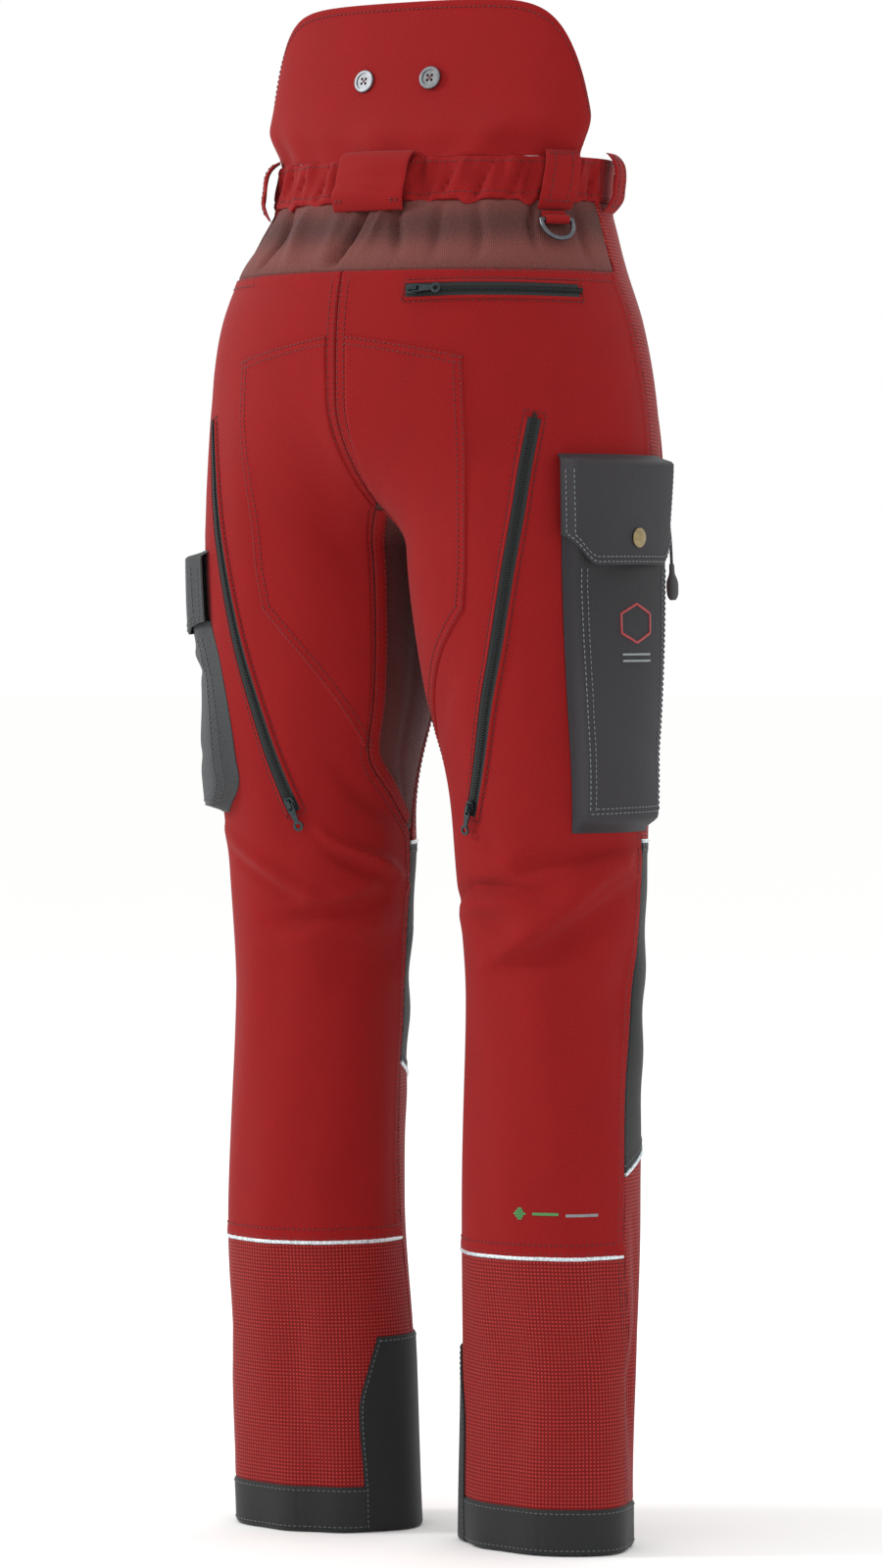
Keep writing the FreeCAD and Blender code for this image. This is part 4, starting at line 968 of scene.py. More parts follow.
# ---------------------------------------------------------------- more cloths
# The other cloths are all woven or knitted from crossed yarns, drawn by one recipe.
def woven(name, dark, light, roughness, across, along, relief=0.4, mix="MULTIPLY", **sockets):
    """Crossed yarns at a pitch across and a pitch along, in mm of cut cloth."""
    material = finish(name, light, roughness, **sockets)
    cut = node(material, "UVMap", uv_map="cut")
    axes = node(material, "SeparateXYZ", {"Vector": cut.outputs["UV"]})
    waves = []
    for axis, pitch in (("X", across), ("Y", along)):
        turn = node(material, "Math", {0: axes.outputs[axis], 1: 2 * math.pi / pitch},
                    operation="MULTIPLY")
        waves.append(node(material, "Math", {0: turn.outputs[0]}, operation="SINE"))
    knots = node(material, "Math", {0: waves[0].outputs[0], 1: waves[1].outputs[0]}, operation=mix)
    bulk = node(material, "TexNoise", {"Vector": cut.outputs["UV"], "Scale": 0.5, "Detail": 3.0})
    rise = node(material, "Math", {0: knots.outputs[0], 1: 0.3, 2: bulk.outputs["Fac"]},
                operation="MULTIPLY_ADD")
    shade = node(material, "Mix", {0: rise.outputs[0], 6: linear(dark), 7: linear(light)},
                 data_type="RGBA")
    bump = node(material, "Bump", {"Strength": relief, "Distance": 0.0004,
                                   "Height": rise.outputs[0]})
    wire(material, shade.outputs[2], None, bump.outputs["Normal"])
    return material


felt = woven("saw_stopping_felt", "#B9B5A6", "#E2DFD2", 0.9, 2.4, 2.4)
stretch_knit = woven("maroon_stretch_knit", "#34100C", "#74362F", 0.8, 1.7, 60.0, 0.5, "ADD")
navy_ripstop = woven("navy_ripstop_nylon", "#121014", "#27242A", 0.66, 2.0, 300.0, 0.5, "ADD")
band_elastic = woven("ribbed_waist_elastic", "#17181A", "#3A3B3E", 0.75, 60.0, 1.8, 0.8, "ADD")
zip_twill = woven("black_zip_tape", "#0B0D0E", "#1B2022", 0.72, 1.4, 1.4, 0.4, "ADD")
facing = woven("dark_facing_cloth", "#26272A", "#3D3F43", 0.8, 1.6, 1.6)
slate_nylon = woven("slate_textured_nylon", "#2E3032", "#4C4F51", 0.78, 1.6, 1.6, 0.6)
bib_foam = woven("red_brushed_lining", "#6A1A1C", "#8A2A2B", 0.9, 2.4, 2.4)
nylon_coil = finish("black_nylon_coil", "#101213", 0.45, Specular_IOR_Level=0.3)


def layer(name, cloth, side, angle, height, face, thick, material, slot, replaces=(),
          body="trousers", held="laid", fill=None):
    """A layer of cloth over a grid of (angle, height), its face some mm above the body shape."""
    plain, out = on_cloth((cloth[0], unfolded), side, angle, height)
    face = face + cloth[1](side, angle, height)
    outer, inner = two_faces(plain, out, face, thick)
    u, v = run_lengths(outer, 1), run_lengths(outer, 0)
    piece = skins(name, outer, inner, side, material, body=body,
                  cut_map=np.stack([u - u[:, -1:] / 2, v], -1))
    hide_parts(*replaces)
    return piece


def rectangle(angles, heights, cell=3.0, per_degree=MM_PER_DEGREE):
    """A grid between two angles and two heights, finer along its edges."""
    across = angles[0] + (angles[1] - angles[0]) * shares((angles[1] - angles[0]) * per_degree, cell)
    return np.meshgrid(across, heights[0] + (heights[1] - heights[0])
                       * shares(heights[1] - heights[0], cell))


def from_edge(angle, height, per_degree=MM_PER_DEGREE):
    """Distance in mm from each point of a grid to the nearest edge of the grid."""
    x = np.minimum(angle - angle[:, :1], angle[:, -1:] - angle) * per_degree
    return np.minimum(x, np.minimum(height - height[:1], height[-1:] - height))


# ---------------------------------------------------------------- saw protection
# Loose layers of knitted saw-stopping fibre fill the fronts of the legs from the hem to the crotch,
# quilted together in rows and hanging free of the shell.
for side, word in ((1, "left"), (-1, "right")):
    angle, height = rectangle((80, 248), (60, 760), 5.0)
    quilt = -0.7 * np.exp(-((height % 60 - 30) / 2.2) ** 2)
    edge = -0.9 * np.exp(-(from_edge(angle, height) / 2.5) ** 2)
    layer("saw_protection_pad_" + word, LEG_CLOTH, side, angle, height, -2.2 + quilt + edge, 4.8,
          felt, "protective_felt", ["cut_protection_" + word], fill=0.3)

# ---------------------------------------------------------------- yoke and waist
# A maroon ribbed stretch yoke runs across the small of the back, drawn in by the ribbed elastic
# inside the gathered waistband. The waistband's fronts lie flat and meet under a snap tab.
YOKE_SIDE, WAIST_PER_DEGREE = [(92.5, 1000), (90, 1056)], 2.3
KNIT_CELL = 2.4
rows, across = shares(BAND_LOW - YOKE_LOW, KNIT_CELL), shares(184 * WAIST_PER_DEGREE, KNIT_CELL)
height = YOKE_LOW + (BAND_LOW - YOKE_LOW) * rows[:, None] + 0 * across[None]
angle = seam_at(YOKE_SIDE, height) * (2 * across[None] - 1)
edge = np.minimum(height - YOKE_LOW, BAND_LOW - height)
layer("stretch_yoke_knit", TORSO_CLOTH, 1, angle, height,
      ridge(edge) + pucker(angle * WAIST_PER_DEGREE, edge),
      FACE_CLOTH, stretch_knit, "maroon_stretch", ["stretch_yoke"], held="gathered")

BAND_EDGE, BAND_CELL, band_rows = 1056.3, 2.6, []
for name, side, ends, replaces in (("waistband_back_band", 1, (-89.7, 89.7), "waistband_back"),
                                   ("waistband_front_band_left", 1, (90.3, 179.8),
                                    "waistband_front_left"),
                                   ("waistband_front_band_right", -1, (90.3, 179.8),
                                    "waistband_front_right")):
    angle, height = rectangle(ends, (BAND_EDGE, WAIST), BAND_CELL, WAIST_PER_DEGREE)
    edge = np.minimum(height - BAND_EDGE, WAIST - height)
    face = (1.95 - 1.1 * np.exp(-(edge / 1.3) ** 2)
            + 0.35 * pucker(angle * WAIST_PER_DEGREE, np.abs(edge - 4)))
    if "back" in name:
        a = np.radians(angle)
        face = face - np.exp(-((height - 1061) / 1.5) ** 2) * (0.72 + 0.48 * np.sin(angle * 1.9))
        sag = np.clip(np.sin(19 * a + 0.6) + 0.6 * np.sin(31 * a), 0, 2)
        height = height - 3.2 * sag * (1 - (height - BAND_EDGE) / (WAIST - BAND_EDGE)) ** 3
    layer(name, BAND_CLOTH, side, angle, height, face, 2.3, softshell, "red_softshell", [replaces],
          held="gathered")
    for at, lift in ((1061, 1.5), (1086, 1.9)):
        line = level(ends[0] + 0.6, ends[1] - 0.6, at, 160)
        band_rows.append((BAND_CLOTH, side, line, 0, lift))
for distance in (2.0, 8.0):
    line = level(-91, 91, YOKE_LOW - distance, 200)
    band_rows.append((LEG_CLOTH, 1, line[100:], 0, 0.3))
    band_rows.append((LEG_CLOTH, -1, (line * (-1, 1))[:100], 0, 0.3))
angle, height = rectangle((-88, 88), (1059, 1087), BAND_CELL, WAIST_PER_DEGREE)
layer("waist_elastic_band", BAND_CLOTH, 1, angle, height,
      -0.75 - 0.4 * np.exp(-(from_edge(angle, height, 2.3) / 1.2) ** 2), 1.4, band_elastic,
      "elastic", ["waist_elastic"], held="stretched")

# The tab has one square end, sewn down with a box and cross, and a rounded end under its snap.
across, rows = shares(22 * WAIST_PER_DEGREE, 2.0), shares(28, 2.0)
angle, v = np.meshgrid(169 + 22 * across, 2 * rows - 1)
reach = np.sqrt(np.clip(1 - (np.clip((angle - 185.5) / 5.5, 0, 1)) ** 2, 0.06, 1))
height = 1073.2 + 14 * v * reach
edge = from_edge(angle, height, 2.3)
layer("waist_tab_strap", PLAIN_TORSO, 1, angle, height,
      5.15 - 0.7 * np.exp(-(edge / 1.2) ** 2), 1.3, softshell, "red_softshell", ["waist_tab"],
      held="folded")
box = [(170.5, 1062), (176, 1062), (176, 1085), (170.5, 1085), (170.5, 1062), (176, 1085)]
band_rows.append((PLAIN_TORSO, 1, fill_in(box, 60), 0, 5.1))

# ---------------------------------------------------------------- belt loops and D-ring
# Doubled loops of softshell stand off the waistband; the middle one is a wide flap. A webbing tab
# under the right back loop carries a dark steel D-ring.
LOOP_LOW, LOOP_HIGH, WIDE_LOOP = 1047, 1095, 10


def loop_face(height):
    v = (height - LOOP_LOW) / (LOOP_HIGH - LOOP_LOW)
    return 4.0 + 11 * (1 - (2 * v - 1) ** 4)


LOOP_CLOTH = (torso_shape, lambda s, a, h: loop_face(h))
loops = [("belt_loop_centre_flap", 1, 0, 12.5, "belt_loop_centre"),
         ("belt_loop_back_left", 1, 65, 7, "belt_loops_back"), ("belt_loop_back_right", -1, 65, 7, ""),
         ("belt_loop_side_left", 1, 97, 5.5, "belt_loops_front"),
         ("belt_loop_side_right", -1, 97, 5.5, ""), ("belt_loop_front_left", 1, 138, 5.5, ""),
         ("belt_loop_front_right", -1, 138, 5.5, "")]
for name, side, middle, half, replaces in loops:
    angle, height = rectangle((middle - half, middle + half), (LOOP_LOW, LOOP_HIGH), 2.0,
                              WAIST_PER_DEGREE)
    edge = from_edge(angle, height, WAIST_PER_DEGREE)
    u = (angle - middle) / half
    face = -0.6 * np.exp(-(edge / 1.0) ** 2) + 0.2 * np.sin(height / 3.1 + u)
    if half > WIDE_LOOP:
        crease = (height - 1058 - 5 * u) / 2.2
        face = (face + 0.9 * np.sin(2.4 * u + 0.6) * smooth((height - 1050) / 12)
                - 1.3 * np.exp(-crease ** 2) * smooth((0.8 - np.abs(u)) / 0.3)
                - 2.2 * smooth((u + 0.3) / 1.3) * smooth((height - 1052) / 14)
                * smooth((1092 - height) / 8))
    layer(name, LOOP_CLOTH, side, angle, height, face, 1.5, softshell, "red_softshell",
          [replaces] if replaces else (), held="folded")
    inset = min(half - 1.2, 5.6)
    if half > WIDE_LOOP:
        for centre in (middle - half + 2.6, middle + half - 2.6):
            band_rows += [(LOOP_CLOTH, side, level(centre - 1.6, centre + 1.6, LOOP_LOW + at, 12), 0,
                           0.2) for at in (3.0, 4.0)]
        continue
    for shift in (-inset * 0.62, inset * 0.62):
        line = np.linspace((middle + shift, LOOP_LOW + 2), (middle + shift, LOOP_HIGH - 2), 24)
        band_rows.append((LOOP_CLOTH, side, line, 0, 0.15))
    for at in (LOOP_LOW + 3.5, LOOP_HIGH - 3.5):
        line = level(middle - half + 1, middle + half - 1, at, 14)
        band_rows.append((LOOP_CLOTH, side, line, 0, 0.15))
sew("waist_stitching", band_rows, red_thread)

# The tab is a strip of webbing doubled round the ring's straight bar, its tail sewn down.
RING_ANGLE, RING_HEIGHT, RING_OFFSET, RING_WIRE, TAB_TAIL = -65.0, 1037.0, 5.2, 1.9, 7.5
middle, out = on_cloth(PLAIN_TORSO, 1, [RING_ANGLE], [RING_HEIGHT], RING_OFFSET)
middle, out = middle[0], out[0]
bar = np.cross((0, 0, 1), out)
bar /= np.linalg.norm(bar)
rise = np.cross(out, bar)
widths = np.linspace(-10, 10, 9)
wrap = np.radians(np.linspace(0, -270, 24))
grids = []
for reach, tail in ((RING_WIRE + 1.65, -0.7), (RING_WIRE + 0.45, 0.7)):
    profile = np.stack([reach * np.sin(wrap), -reach * np.cos(wrap)], -1)
    profile = np.insert(profile, 0, (TAB_TAIL + 1.4, tail - RING_WIRE), axis=0)
    grids.append(middle + (bar[None, None] * widths[None, :, None]
                           + rise[None, None] * profile[:, None, :1]
                           + out[None, None] * profile[:, None, 1:]) / 1000)
tab = skins("d_ring_tab_webbing", grids[0], grids[1], -1, softshell,
            cut_map=np.stack([np.repeat(widths[None], 25, 0), run_lengths(grids[0], 0)], -1))
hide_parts("d_ring_tab")

# ---------------------------------------------------------------- bib
# A raised bib of the same softshell over thin foam and a brushed lining stands up behind the back,
# turned under along its edge, with two four-hole brace buttons sewn on.
BIB_EDGE, BIB_RISE, BIB_POWER = 88.5, 125.0, 5


def bib_grid(reach, low, drop, cell=2.8):
    across = np.linspace(-1, 1, round(2 * reach * 2.6 / cell))
    angle = reach * np.sin(math.pi / 2 * across)[None]
    top = WAIST + BIB_RISE * np.sqrt(1 - np.abs(angle / 90) ** BIB_POWER) - drop
    rows = shares(BIB_RISE, cell)[:, None]
    return angle + 0 * rows, low + (top - low) * rows


angle, height = bib_grid(BIB_EDGE, WAIST + 0.3, 0)
plain, _ = on_cloth(PLAIN_BIB, 1, angle, height)
u, v = run_lengths(plain, 1), run_lengths(plain, 0)
edge = np.minimum(np.minimum(u, u[:, -1:] - u), v[-1:] - v)
face = -0.05 - 0.75 * np.exp(-(edge / 0.9) ** 2) - 0.25 * np.exp(-((edge - 6) / 1.3) ** 2)
layer("bib_softshell", BIB_CLOTH, 1, angle, height, face, 1.5, softshell, "red_softshell",
      ["back_bib"], held="hung")
angle, height = bib_grid(BIB_EDGE - 3, WAIST + 3, 4)
layer("bib_foam_lining", BIB_CLOTH, 1, angle, height,
      -1.85 - 0.9 * np.exp(-(from_edge(angle, height, 2.3) / 2.0) ** 2), 3.7, bib_foam,
      "bib_lining", ["bib_lining"], fill=0.4)
around = BIB_EDGE * np.sin(np.linspace(-math.pi / 2, math.pi / 2, 240))
rim = np.stack([around, WAIST + BIB_RISE * np.sqrt(1 - np.abs(around / 90) ** BIB_POWER)], -1)
crown = rim * (1 - 5.2 / 215, 1) - (0, 6)
sew("bib_stitching", [(BIB_CLOTH, 1, crown[6:-6], 0, 0.15)], red_thread)

# Waxed red thread crosses the four holes of every brace button.
BUTTONS = [(bib_shape, 1, a, 1153, 0) for a in (-12.3, 12.3)]
BUTTONS += [(torso_shape, s, a, 1074, 2.0) for a in (122, 154) for s in (1, -1)]
ends, arms = thread_shape(5.0, 0.42)
crosses = []
for shape, side, a, h, lift in BUTTONS:
    centre, out = on_cloth((shape, unfolded), side, [a], [h], lift + 2.55)
    east = np.cross((0, 0, 1), out)
    east /= np.linalg.norm(east, axis=-1, keepdims=True)
    north = np.cross(out, east)
    for turn in (1, -1):
        ahead = (east + turn * north) / math.sqrt(2)
        crosses.append((centre, ahead, np.cross(out, ahead), out))
scatter("button_threads", ends, arms, crosses, red_thread, "red_softshell")

# ---------------------------------------------------------------- zips
# Coil zips on twill tape lie in slits of the shell whose edges are turned back and topstitched:
# one across the right seat, a vent down the back of each thigh, two hand pockets and the fly.
TOOTH_PITCH = 2.2                     # the real 1.3 mm coil is too fine to show
tooth = [(x, y, z) for x in (-0.62, 0.62) for y in (-2.3, 0.35) for z in (1.15, 2.1)]
tooth_faces = [(0, 1, 3, 2), (4, 6, 7, 5), (0, 4, 5, 1), (2, 3, 7, 6), (0, 2, 6, 4), (1, 5, 7, 3)]
WELT = [(0, 0.2), (0.15, 1.35), (0.6, 1.6), (1.6, 1.35), (2.4, 0.7), (2.8, 0.15)]


def zip_fastener(name, cloth, side, line, replaces=(), welts=True, lift=0.0):
    """Tape, coil teeth and the turned edges of the slit."""
    line = fill_in(line, 90)
    tape = swept(name + "_tape", cloth, side, line,
                 [(-5.5, 0.4 + lift), (-5.5, 1.05 + lift), (5.5, 1.05 + lift), (5.5, 0.4 + lift)],
                 zip_twill, step=3.0)
    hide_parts(*replaces)
    middle, ahead, across, out = frames(cloth, side, line, TOOTH_PITCH, lift)
    half = TOOTH_PITCH / 2000
    places = [(middle, ahead, across, out),
              (middle + ahead * half, ahead, -across, out)]
    scatter(name + "_coil", tooth, tooth_faces, places, nylon_coil, "zip_tape", crease=30)
    if not welts:
        return
    for turn, word in ((1, "a"), (-1, "b")):
        section = [(turn * (5.3 + x), y + lift) for x, y in WELT][::turn]
        swept(f"{name}_edge_{word}", cloth, side, line, section, softshell,
              step=3.0)


zip_stitches = []
for name, side, line, replaces in (("back_pocket_zip", -1, BACK_POCKET_LINE, ["back_pocket_zip"]),
                                   ("vent_zip_left", 1, VENT_LINE, ["vent_zip_left"]),
                                   ("vent_zip_right", -1, VENT_LINE, ["vent_zip_right"]),
                                   ("hand_zip_left", 1, HAND_LINE, ["hand_pocket_zips"]),
                                   ("hand_zip_right", -1, HAND_LINE, [])):
    zip_fastener(name, LEG_CLOTH, side, line, replaces)
    rows = fill_in(line, 60)
    ahead = rows[[0, -1]] + (rows[[0, -1]] - rows[[1, -2]]) * 0.6
    rows = np.concatenate([ahead[:1], rows, ahead[1:]])
    zip_stitches += [(LEG_CLOTH, side, rows, s * 8.7, 0.25) for s in (-1, 1)]
    for at in (0, -1):
        corners = [beside(LEG_CLOTH, side, rows, s * 8.7)[at] for s in (-1, 1)]
        zip_stitches.append((LEG_CLOTH, side, np.linspace(corners[0], corners[1], 8), 0, 0.25))
sew("zip_stitching", zip_stitches, red_thread)

FLY_LINE = [(180, 905), (180, 945), (180, 985), (180, 1020), (180, 1048)]
zip_fastener("fly_zip", PLAIN_TORSO, 1, FLY_LINE, ["fly_zip"], welts=False)
angle, height = rectangle((180 - 7.6, 180 + 7.6), (905, 1048), 4.0, 2.37)
layer("fly_facing_cloth", PLAIN_TORSO, 1, angle, height, np.full(angle.shape, -3.4), 1.2, facing,
      "facing_cloth", ["fly_facing"], held="laid")

# ---------------------------------------------------------------- pockets
# The tool pocket on the right thigh is of dark ripstop with a bellows wall and a snapped flap;
# the knife pocket on the left is of textured nylon. Flaps hang down from their top edge.
KNIFE_EDGE = [(33, 575), (18, 597), (19, 620), (21, 645), (25, 680), (29, 704), (37, 728)]
POCKET_WALL, POCKET_GAP, FLAP_BEND = 0.1, 0.5, 0.085


def edge_rise(share):
    return smooth(np.minimum(share, 1 - share) / POCKET_WALL)


def pocket_rise(low, high, left, right, depth):
    """The face of a bellows pocket above the leg, in mm."""
    def rise(side, angle, height):
        a0 = seam_at(left, height) if isinstance(left, list) else left
        u = (angle - a0) / (right - a0)
        v = (height - low) / (high - low)
        soft = edge_rise(u) * smooth(v / 0.08)
        fold = (np.exp(-((v - 0.78 - 0.16 * u) / 0.035) ** 2)
                - np.exp(-((v - 0.68 - 0.22 * u) / 0.045) ** 2)
                - 0.8 * np.exp(-((v - 0.34 + 0.12 * u) / 0.05) ** 2))
        sag = (1.6 * np.sin(2.1 * u + 5.2 * v + 0.4) + 1.1 * np.sin(8 * v - 2.6 * u)
               + 0.6 * np.sin(9 * u + 4 * v) + 2.2 * fold * np.sin(math.pi * u)) * soft
        return (leg_folds(side, angle, height) * 0.6 + POCKET_GAP + depth * edge_rise(u)
                * smooth(v / 0.05) + sag + FACE_CLOTH)
    return rise


def flap_rise(low, high, left, right, depth, corner, snap=None):
    """The face of a pocket flap above the leg, and the height of its lower edge."""
    def foot(angle):
        u = (angle - left) / (right - left)
        return low + corner * (1 - smooth(np.minimum(u, 1 - u) / 0.2))

    def rise(side, angle, height):
        u = (angle - left) / (right - left)
        v = np.clip((height - foot(angle)) / (high - foot(angle)), 0, 1)
        bend = smooth((1 - v) / FLAP_BEND)
        wave = bend * edge_rise(u) * (0.8 * np.sin(5 * u + 2.2 * v) + 0.6 * np.sin(11 * u - 3 * v)
                                      * (1 - v))
        if snap is not None:
            near = np.hypot((angle - snap[0]) * MM_PER_DEGREE, height - snap[1])
            wave = wave * smooth((near - 8) / 12)
        return (0.8 + bend * (depth * 0.6 + (depth * 0.4 + 3) * edge_rise(u)) + wave + FACE_CLOTH)
    return rise, foot


CARGO_SNAP, CARGO_LOW, CARGO_HIGH, CARGO_LEFT, POCKET_RIGHT = (77, 793), 564, 837, 44, 108
CARGO_FLAP, KNIFE_FLAP, KNIFE_LOW, KNIFE_HIGH = (42.5, 109.5), (35.5, 109.5), 575, 728
cargo_cloth = (leg_shape, pocket_rise(CARGO_LOW, CARGO_HIGH, CARGO_LEFT, POCKET_RIGHT, 12.0))
cargo_flap_rise, cargo_foot = flap_rise(772, 857, *CARGO_FLAP, 12.0, 22.0, CARGO_SNAP)
cargo_flap_cloth = (leg_shape, cargo_flap_rise)
knife_cloth = (leg_shape, pocket_rise(KNIFE_LOW, KNIFE_HIGH, KNIFE_EDGE, POCKET_RIGHT, 11.0))
knife_flap_rise, knife_foot = flap_rise(718, 784, *KNIFE_FLAP, 11.0, 10.0)
knife_flap_cloth = (leg_shape, knife_flap_rise)


def rolled(angle, height, deep=0.8):
    return -deep * np.exp(-(from_edge(angle, height) / 1.1) ** 2)


ROW_CELL, COLUMN_CELL = 3.0, 2.2
cargo_wide, cargo_tall = POCKET_RIGHT - CARGO_LEFT, CARGO_HIGH - CARGO_LOW
rows, across = shares(cargo_tall, ROW_CELL), shares(cargo_wide * MM_PER_DEGREE, COLUMN_CELL)
angle, height = np.meshgrid(CARGO_LEFT + cargo_wide * across, CARGO_LOW + cargo_tall * rows)
layer("tool_pocket_ripstop", cargo_cloth, -1, angle, height, rolled(angle, height), FACE_CLOTH,
      navy_ripstop, "navy_ripstop", ["cargo_pocket"])
knife_tall = KNIFE_HIGH - KNIFE_LOW
rows, across = shares(knife_tall, ROW_CELL), shares(74 * MM_PER_DEGREE, COLUMN_CELL)
height = KNIFE_LOW + knife_tall * rows[:, None] + 0 * across[None]
left = seam_at(KNIFE_EDGE, height)
angle = left + (POCKET_RIGHT - left) * across[None]
layer("knife_pocket_nylon", knife_cloth, 1, angle, height, rolled(angle, height), FACE_CLOTH,
      slate_nylon, "charcoal_cordura", ["knife_pocket"])

pale_thread = mottled("pale_grey_thread", "#666C6F", "#767C7F", 0.5, THREAD_PLY, Sheen_Weight=0.1)
pocket_stitches = []
for name, side, cloth, foot, ends, top, material, slot, body, thread in (
        ("tool_pocket_flap", -1, cargo_flap_cloth, cargo_foot, CARGO_FLAP, 857, navy_ripstop,
         "navy_ripstop", "cargo_flap", pale_thread),
        ("knife_pocket_flap_nylon", 1, knife_flap_cloth, knife_foot, KNIFE_FLAP, 784, slate_nylon,
         "charcoal_cordura", "knife_pocket_flap", grey_thread)):
    across = shares((ends[1] - ends[0]) * MM_PER_DEGREE, COLUMN_CELL)
    down = shares(80, COLUMN_CELL)[:, None]
    angle = ends[0] + (ends[1] - ends[0]) * across[None] + 0 * down
    low = foot(angle)
    height = low + (top - low) * down
    piece = layer(name, cloth, side, angle, height, rolled(angle, height, 0.7), FACE_CLOTH,
                  material, slot, [body], body, held="hung")
    piece.parent = None
    hinge, _ = on_cloth(PLAIN_LEG, side, [sum(ends) / 2] * 2, [top + 0.5, top - 8.0])
    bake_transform(piece)
    rows = []
    for inset in (2.6, 6.4):
        sides_in = inset / MM_PER_DEGREE
        a = np.linspace(ends[0] + sides_in, ends[1] - sides_in, 70)
        row = np.stack([a, foot(a) + inset], -1)
        left_up, right_up = (np.linspace(row[k], (a[k], top - 12), 20) for k in (0, -1))
        rows.append((cloth, side, np.concatenate([left_up[::-1], row[1:-1], right_up]), 0, 0.15))
    sew(name + "_stitching", rows, thread, slot, body)
for inset in (3.2, 7.0):
    a0, a1 = 44 + (inset + 6) / MM_PER_DEGREE, 108 - (inset + 6) / MM_PER_DEGREE
    foot_row = 564 + inset + 14
    down = np.linspace((a0, 770), (a0, foot_row), 60)
    along = level(a0, a1, foot_row, 30)
    back = np.linspace((a1, foot_row), (a1, 770), 60)
    pocket_stitches += [(cargo_cloth, -1, line, 0, 0.2) for line in (down, along, back)]
sew("tool_pocket_stitching", pocket_stitches, pale_thread, "navy_ripstop")
knife_rows = []
for inset in (3.0, 6.6):
    edge = np.array([(a + (inset + 4) / MM_PER_DEGREE, h) for a, h in fill_in(KNIFE_EDGE, 50)
                     if 580 + inset < h < 716])
    foot_row = level(edge[0, 0], 104, 579 + inset, 30)
    knife_rows += [(knife_cloth, 1, edge, 0, 0.2), (knife_cloth, 1, foot_row, 0, 0.2)]
sew("knife_pocket_stitching", knife_rows, grey_thread, "charcoal_cordura")

# ---------------------------------------------------------------- embroidery
# Satin-stitched marks without lettering: a red hexagon with two bars on the tool pocket, and a
# green lozenge with a green and a grey bar low on the right leg.
red_satin, green_satin, grey_satin = (
    mottled(name, dark, light, 0.42, THREAD_PLY, Sheen_Weight=0.3, Anisotropic=0.5)
    for name, dark, light in (("red_satin_thread", "#A02327", "#B02B2F"),
                              ("green_satin_thread", "#3A8645", "#44984F"),
                              ("grey_satin_thread", "#82888C", "#92989C")))


def satin_stitch(name, cloth, side, line, width, material, slot):
    """Close parallel threads laid across a line."""
    middle, ahead, across, out = frames(cloth, side, line, 0.9, 0.15)
    points, faces = thread_shape(width, 0.48)
    return scatter(name, points, faces, [(middle, across, -ahead, out)], material, slot)


spot, size = np.array((79, 727)), 15.0
corners = [spot + np.array((math.cos(t) * size / MM_PER_DEGREE, math.sin(t) * size))
           for t in np.radians(np.arange(0, 361, 60) + 30)]
outline = np.concatenate([corners[i] + (corners[i + 1] - corners[i])
                          * np.linspace(0, 1, 12)[:, None] for i in range(6)])
satin_stitch("pocket_mark_outline", cargo_cloth, -1, outline, 2.2, red_satin,
             "navy_ripstop")
for number, at in enumerate((703, 698)):
    satin_stitch(f"pocket_mark_bar_{number}", cargo_cloth, -1, level(70, 88, at, 20), 2.0,
                 grey_satin, "navy_ripstop")
for number in range(5):
    reach = 5.0 - 1.6 * abs(number - 2)
    row = level(10 - reach / 1.2, 10 + reach / 1.2, 268 + 1.9 * (number - 2), 12)
    satin_stitch(f"calf_mark_lozenge_{number}", LEG_CLOTH, -1, row, 2.0,
                 green_satin, "red_softshell")
for number, (a0, a1, at, satin) in enumerate(((19, 36, 268, green_satin),
                                              (41, 62, 267, grey_satin))):
    satin_stitch(f"calf_mark_bar_{number}", LEG_CLOTH, -1, level(a0, a1, at, 24), 2.6, satin,
                 "red_softshell")

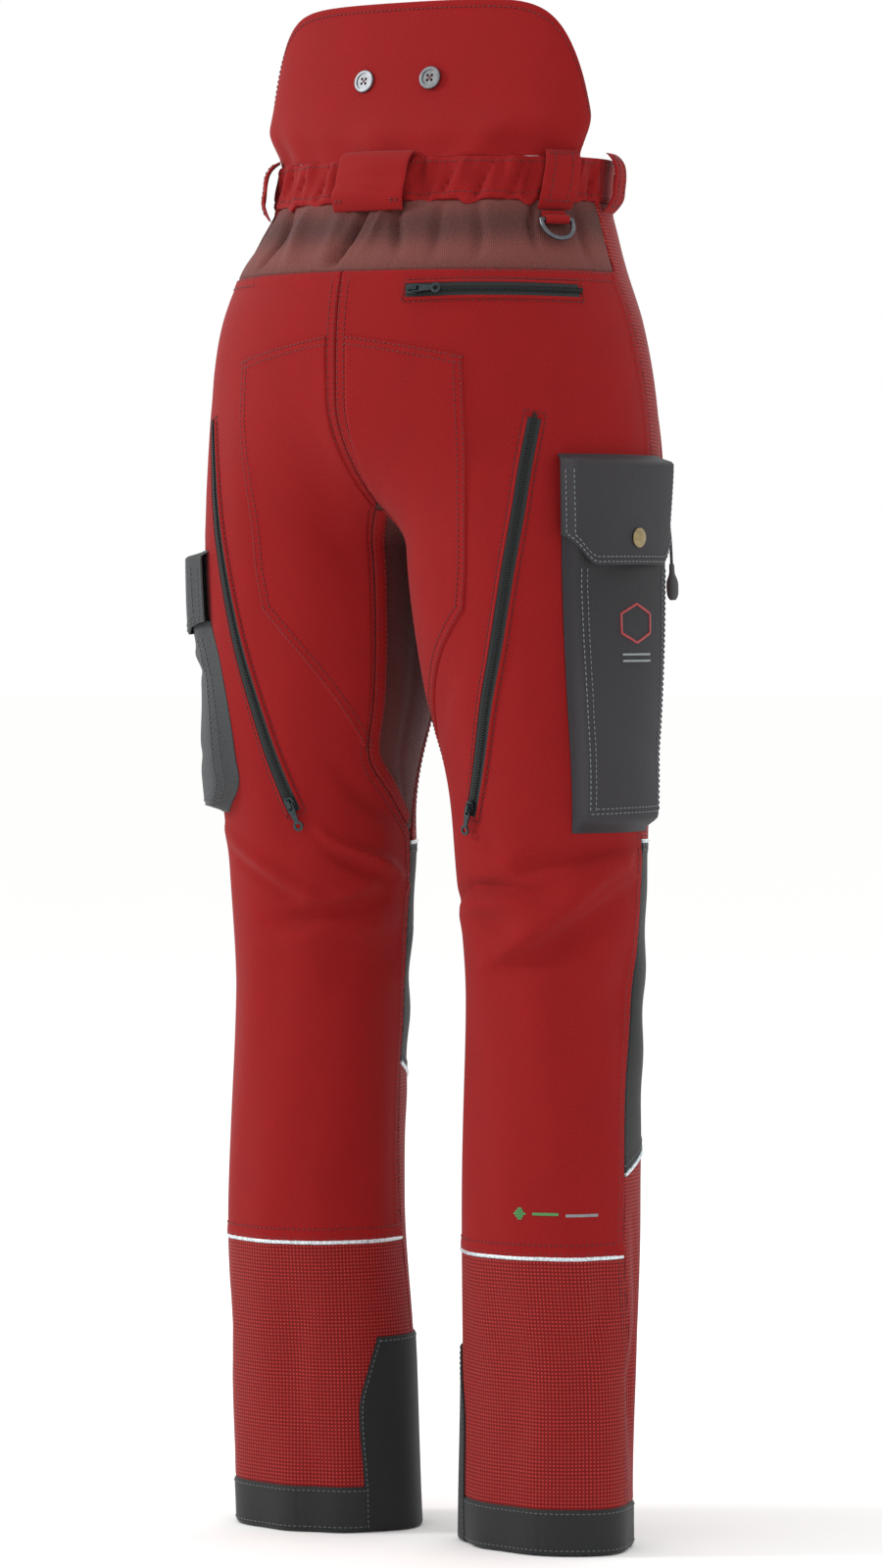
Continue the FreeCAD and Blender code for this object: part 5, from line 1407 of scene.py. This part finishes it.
# ---------------------------------------------------------------- metal and rubber
# Sliders, pulls, buttons, snaps and the D-ring keep their machined shapes; only their finish is
# added: black zinc plate, dull nickel, rubbed antique brass and blackened steel.
PLATING = 240.0
nickel = mottled("dull_nickel", "#55575A", "#8E9093", 0.45, PLATING, 4.0, Metallic=1.0)
brass = mottled("antique_brass", "#6E6044", "#B3A27C", 0.38, PLATING, 4.0, Metallic=1.0)
steel = mottled("blackened_steel", "#3C3E42", "#74777C", 0.34, PLATING, 4.0, Metallic=1.0)
for name in ("back_pocket_slider", "back_pocket_pull", "vent_slider_left", "vent_slider_right",
             "vent_pull_left", "vent_pull_right", "hand_slider_left", "hand_slider_right",
             "fly_slider", "fly_pull"):
    dress(name, black_zinc)
dress("brace_buttons", nickel)
dress("snap_cap", brass)
dress("snap_stud", brass)
dress("waist_snap", brass)
dress("d_ring", steel)

# ---------------------------------------------------------------- studio
# A pale seamless floor and soft boxes: a broad key from the left behind the lens, a weaker fill
# from the right, and a top light that picks out the folds.
pale = finish("pale_seamless_paper", "#FEFEFD", 0.95, Specular_IOR_Level=0.0)
REACH, FLOOR = 60.0, -(WAIST + 0.8) / 1000
floor_mesh = bpy.data.meshes.new("floor")
floor_mesh.from_pydata([(x * REACH, y * REACH, FLOOR) for x, y in ((-1, -1), (1, -1), (1, 1), (-1, 1))],
                       [], [(0, 1, 2, 3)])
floor_mesh.materials.append(pale)
floor = bpy.data.objects.new("floor", floor_mesh)
bpy.context.scene.collection.objects.link(floor)

world = bpy.data.worlds.new("studio_air")
world.use_nodes = True
world.node_tree.nodes["Background"].inputs["Color"].default_value = (1, 1, 1, 1)
world.node_tree.nodes["Background"].inputs["Strength"].default_value = 1.0
bpy.context.scene.world = world
bpy.context.scene.view_settings.view_transform = "Standard"

for name, place_on, aim, size, power in (
        ("key_light", (3.2, 2.3, 1.6), (0, 0, -0.5), 1.0, 78),
        ("fill_light", (-3.4, 1.6, 0.2), (0, 0, -0.5), 1.8, 2),
        ("front_light", (0.8, -3.0, 0.8), (0, 0, -0.5), 1.8, 8),
        ("top_light", (0.0, 0.4, 2.2), (0, 0, -0.4), 1.2, 4)):
    lamp = bpy.data.lights.new(name, "AREA")
    lamp.shape, lamp.size, lamp.energy = "DISK", size, power
    light = bpy.data.objects.new(name, lamp)
    light.location = place_on
    light.rotation_euler = (Vector(aim) - Vector(place_on)).to_track_quat("-Z", "Y").to_euler()
    bpy.context.scene.collection.objects.link(light)
